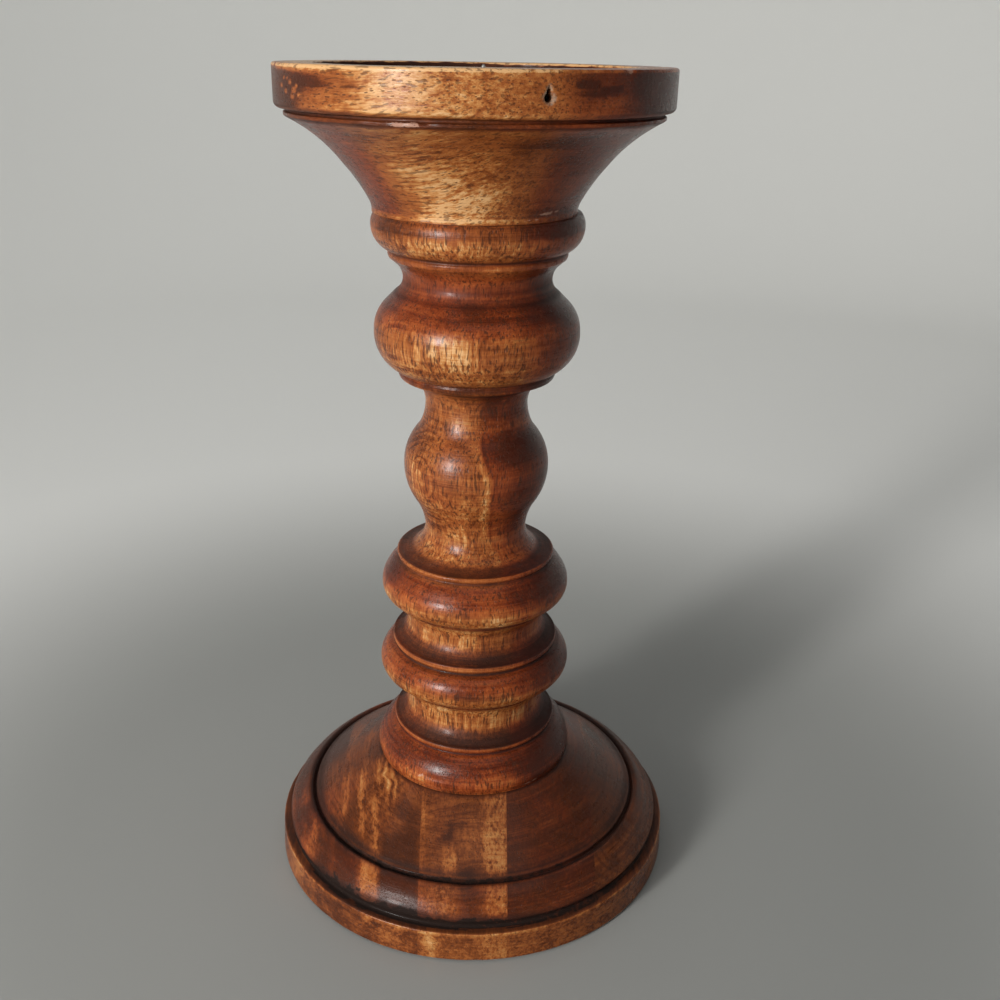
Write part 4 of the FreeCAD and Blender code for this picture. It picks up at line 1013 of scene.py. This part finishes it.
def felt_look():
    """Pressed wool: matted fibres lying every way, a few pale hairs, rubbed flat in places."""
    n = Net("felt")
    tc = n.tree.nodes.new("ShaderNodeTexCoord")
    p = n.vec("SCALE", tc.outputs["Object"], scale=1000.0)
    warp = n.noise(n.vec("SCALE", p, scale=0.45), 3.0)
    bent = n.vec("ADD", p, n.xyz(n.mul(n.add(warp, -0.5), 9.0), n.mul(n.add(warp, -0.5), -7.0), 0.0))
    one = n.noise(n.vec("MULTIPLY", bent, (3.4, 0.62, 1.5)), 3.0, 0.65)
    two = n.noise(n.vec("MULTIPLY", n.vec("ADD", bent, (17.0, 5.0, 3.0)), (0.55, 3.1, 1.5)), 3.0, 0.65)
    mat = n.math("MAXIMUM", one, two)
    fuzz = n.noise(n.vec("SCALE", p, scale=4.2), 4.0, 0.75)
    patch = n.noise(n.vec("SCALE", p, scale=0.055), 4.0, 0.6)
    hairs = n.math("MAXIMUM", n.span(one, 0.675, 0.735), n.span(two, 0.685, 0.745))
    colour = n.mix(n.span(mat, 0.42, 0.72), (0.020, 0.0155, 0.0130, 1), (0.125, 0.100, 0.084, 1))
    colour = n.mix(n.span(fuzz, 0.35, 0.70, 0.0, 0.45), colour, (0.030, 0.024, 0.020, 1))
    colour = n.mix(n.span(patch, 0.46, 0.66, 0.0, 0.55), colour, (0.070, 0.048, 0.036, 1))
    n.put(n.bsdf.inputs["Base Color"], n.mix(n.mul(hairs, 0.55), colour, (0.300, 0.270, 0.235, 1)))
    n.put(n.bsdf.inputs["Roughness"], n.span(fuzz, 0.2, 0.8, 0.86, 1.0))
    n.bsdf.inputs["Specular IOR Level"].default_value = 0.2
    n.bsdf.inputs["Sheen Weight"].default_value = 0.25
    n.bsdf.inputs["Sheen Roughness"].default_value = 0.5
    bump = n.tree.nodes.new("ShaderNodeBump")
    bump.inputs["Distance"].default_value = 0.001
    n.put(bump.inputs["Height"], n.add(n.mul(mat, 0.65), n.mul(fuzz, 0.25), n.mul(patch, 0.6)))
    n.put(n.bsdf.inputs["Normal"], bump.outputs["Normal"])
    return n.mat


steel = metal("drawn_steel", (0.56, 0.55, 0.53), 0.24, 0.48)
spike.data.materials.append(steel)
felt.data.materials.append(felt_look())
for node in ("stem_screw", "stem_washer"):
    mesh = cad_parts[node].data
    mesh.materials.clear()
    mesh.materials.append(steel)


# ---------------------------------------------------------------------------
# Floor, light and camera
# ---------------------------------------------------------------------------
def studio():
    """One round sweep: a flat floor whose edge curves up out of sight."""
    line = [(0.0, 0.0)] + [(r, 0.0) for r in np.linspace(0.05, 0.85, 17)]
    line += [(0.85 + 0.5 * math.sin(a), 0.5 - 0.5 * math.cos(a)) for a in np.linspace(0, math.pi / 2, 25)[1:]]
    line += [(1.35, h) for h in (0.7, 0.9)]
    count = 128
    verts = [(0.0, 0.0, 0.0)]
    faces = []
    for r, h in line[1:]:
        verts += [(r * math.cos(2 * math.pi * j / count), r * math.sin(2 * math.pi * j / count), h) for j in range(count)]
    for j in range(count):
        faces.append((0, 1 + j, 1 + (j + 1) % count))
    for i in range(len(line) - 2):
        for j in range(count):
            a, b = 1 + i * count + j, 1 + i * count + (j + 1) % count
            faces.append((a, a + count, b + count, b))
    mesh = bpy.data.meshes.new("studio_floor")
    mesh.from_pydata(verts, [], faces)
    mesh.polygons.foreach_set("use_smooth", np.ones(len(mesh.polygons), bool))
    ob = bpy.data.objects.new("studio_floor", mesh)
    bpy.context.scene.collection.objects.link(ob)
    ob.location.z = -0.00005  # clear of the felt, so that the two don't fight for the same plane
    return ob


floor = studio()
floor_mat = bpy.data.materials.new("floor_paper")
floor_mat.use_nodes = True
paper = floor_mat.node_tree
where = paper.nodes.new("ShaderNodeTexCoord")
out_from_axis = paper.nodes.new("ShaderNodeVectorMath")
out_from_axis.operation = "LENGTH"
paper.links.new(where.outputs["Object"], out_from_axis.inputs[0])
# painted shade: the paper is coloured darker on the floor near the stand and paler further out and up the sweep,
# standing in for the light falling off
painted_floor_falloff = paper.nodes.new("ShaderNodeMapRange")
painted_floor_falloff.interpolation_type = "SMOOTHSTEP"
painted_floor_falloff.inputs["From Min"].default_value, painted_floor_falloff.inputs["From Max"].default_value = 0.13, 0.38
paper.links.new(out_from_axis.outputs["Value"], painted_floor_falloff.inputs["Value"])
shade = paper.nodes.new("ShaderNodeMix")
shade.data_type = "RGBA"
paper.links.new(painted_floor_falloff.outputs["Result"], shade.inputs[0])
shade.inputs[6].default_value = (0.325, 0.330, 0.314, 1)
shade.inputs[7].default_value = (0.86, 0.86, 0.83, 1)
paper.links.new(shade.outputs[2], paper.nodes["Principled BSDF"].inputs["Base Color"])
paper.nodes["Principled BSDF"].inputs["Roughness"].default_value = 0.85
floor.data.materials.append(floor_mat)


def panel(name, azimuth, elevation, distance, wide, high, watts, colour, aim=(0, 0, 0.12), spread=180):
    """Soft light panel; azimuth 0 is the viewer's side, negative to the left."""
    data = bpy.data.lights.new(name, "AREA")
    data.shape, data.size, data.size_y = "RECTANGLE", wide, high
    data.energy, data.color = watts, colour
    a, e = math.radians(azimuth), math.radians(elevation)
    out = Vector((math.sin(a) * math.cos(e), -math.cos(a) * math.cos(e), math.sin(e)))
    ob = bpy.data.objects.new(name, data)
    ob.location = Vector(aim) + out * distance
    ob.rotation_euler = out.to_track_quat("Z", "Y").to_euler()
    ob.visible_camera = False
    data.spread = math.radians(spread)
    bpy.context.scene.collection.objects.link(ob)
    return ob


panel("key_window", -42, 14, 1.05, 0.13, 0.30, 1.68, (1.0, 0.985, 0.965), spread=84)
panel("key_curtain", -42, 15, 1.06, 0.50, 0.55, 1.12, (1.0, 0.985, 0.965), spread=84)
panel("top_fill", 10, 74, 1.0, 0.9, 0.9, 1.5, (0.97, 0.98, 1.0))
for turn, watts in ((-120, 2.1), (180, 1.6), (120, 0.5)):  # washes on the far wall, facing away from the stand
    wash = panel("wall_wash_%d" % (turn % 360), turn, 40, 1.0, 1.0, 0.3, watts, (1.0, 1.0, 0.99))
    a = math.radians(turn)
    wash.location = (0.62 * math.sin(a), -0.62 * math.cos(a), 1.02)
    wash.rotation_euler = Vector((-math.sin(a), math.cos(a), 1.05)).to_track_quat("Z", "Y").to_euler()
world = bpy.data.worlds.new("soft_room")
bpy.context.scene.world = world
world.use_nodes = True
world.node_tree.nodes["Background"].inputs["Color"].default_value = (0.80, 0.81, 0.82, 1)
world.node_tree.nodes["Background"].inputs["Strength"].default_value = 0.13
bpy.context.scene.view_settings.view_transform = "Standard"

yaw, pitch, roll = math.radians(-1.350), math.radians(22.254), math.radians(1.007)
right = Vector((math.cos(yaw), math.sin(yaw), 0))
ahead = Vector((-math.sin(yaw), math.cos(yaw), 0))
up = Vector((0, 0, 1))
look = ahead * math.cos(pitch) - up * math.sin(pitch)
over = up * math.cos(pitch) + ahead * math.sin(pitch)
cam_x = right * math.cos(roll) + over * math.sin(roll)
cam_y = over * math.cos(roll) - right * math.sin(roll)
cam_data = bpy.data.cameras.new("camera")
cam_data.sensor_width = 36.0
cam_data.sensor_fit = "HORIZONTAL"
cam_data.lens = 39.956
cam_data.clip_start, cam_data.clip_end = 0.02, 20
cam = bpy.data.objects.new("camera", cam_data)
bpy.context.scene.collection.objects.link(cam)
cam.matrix_world = Matrix((
    (cam_x.x, cam_y.x, -look.x, 0.0),
    (cam_x.y, cam_y.y, -look.y, -0.3081),
    (cam_x.z, cam_y.z, -look.z, 0.24436),
    (0, 0, 0, 1),
))
bpy.context.scene.camera = cam

# ---------------------------------------------------------------------------
# Pieces and the parts that they stand for
# ---------------------------------------------------------------------------
for k, ob in enumerate(boards):
    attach(ob, "root")
    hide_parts("base_board_%d" % (k + 1))
for ob, node, slot in ((stem, "stem_spindle", "stem_wood"), (cup, "cup", "cup_wood"),
                       (spike, "pricket_spike", "steel"), (felt, "felt_pad", "felt")):
    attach(ob, "root")
    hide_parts(node)
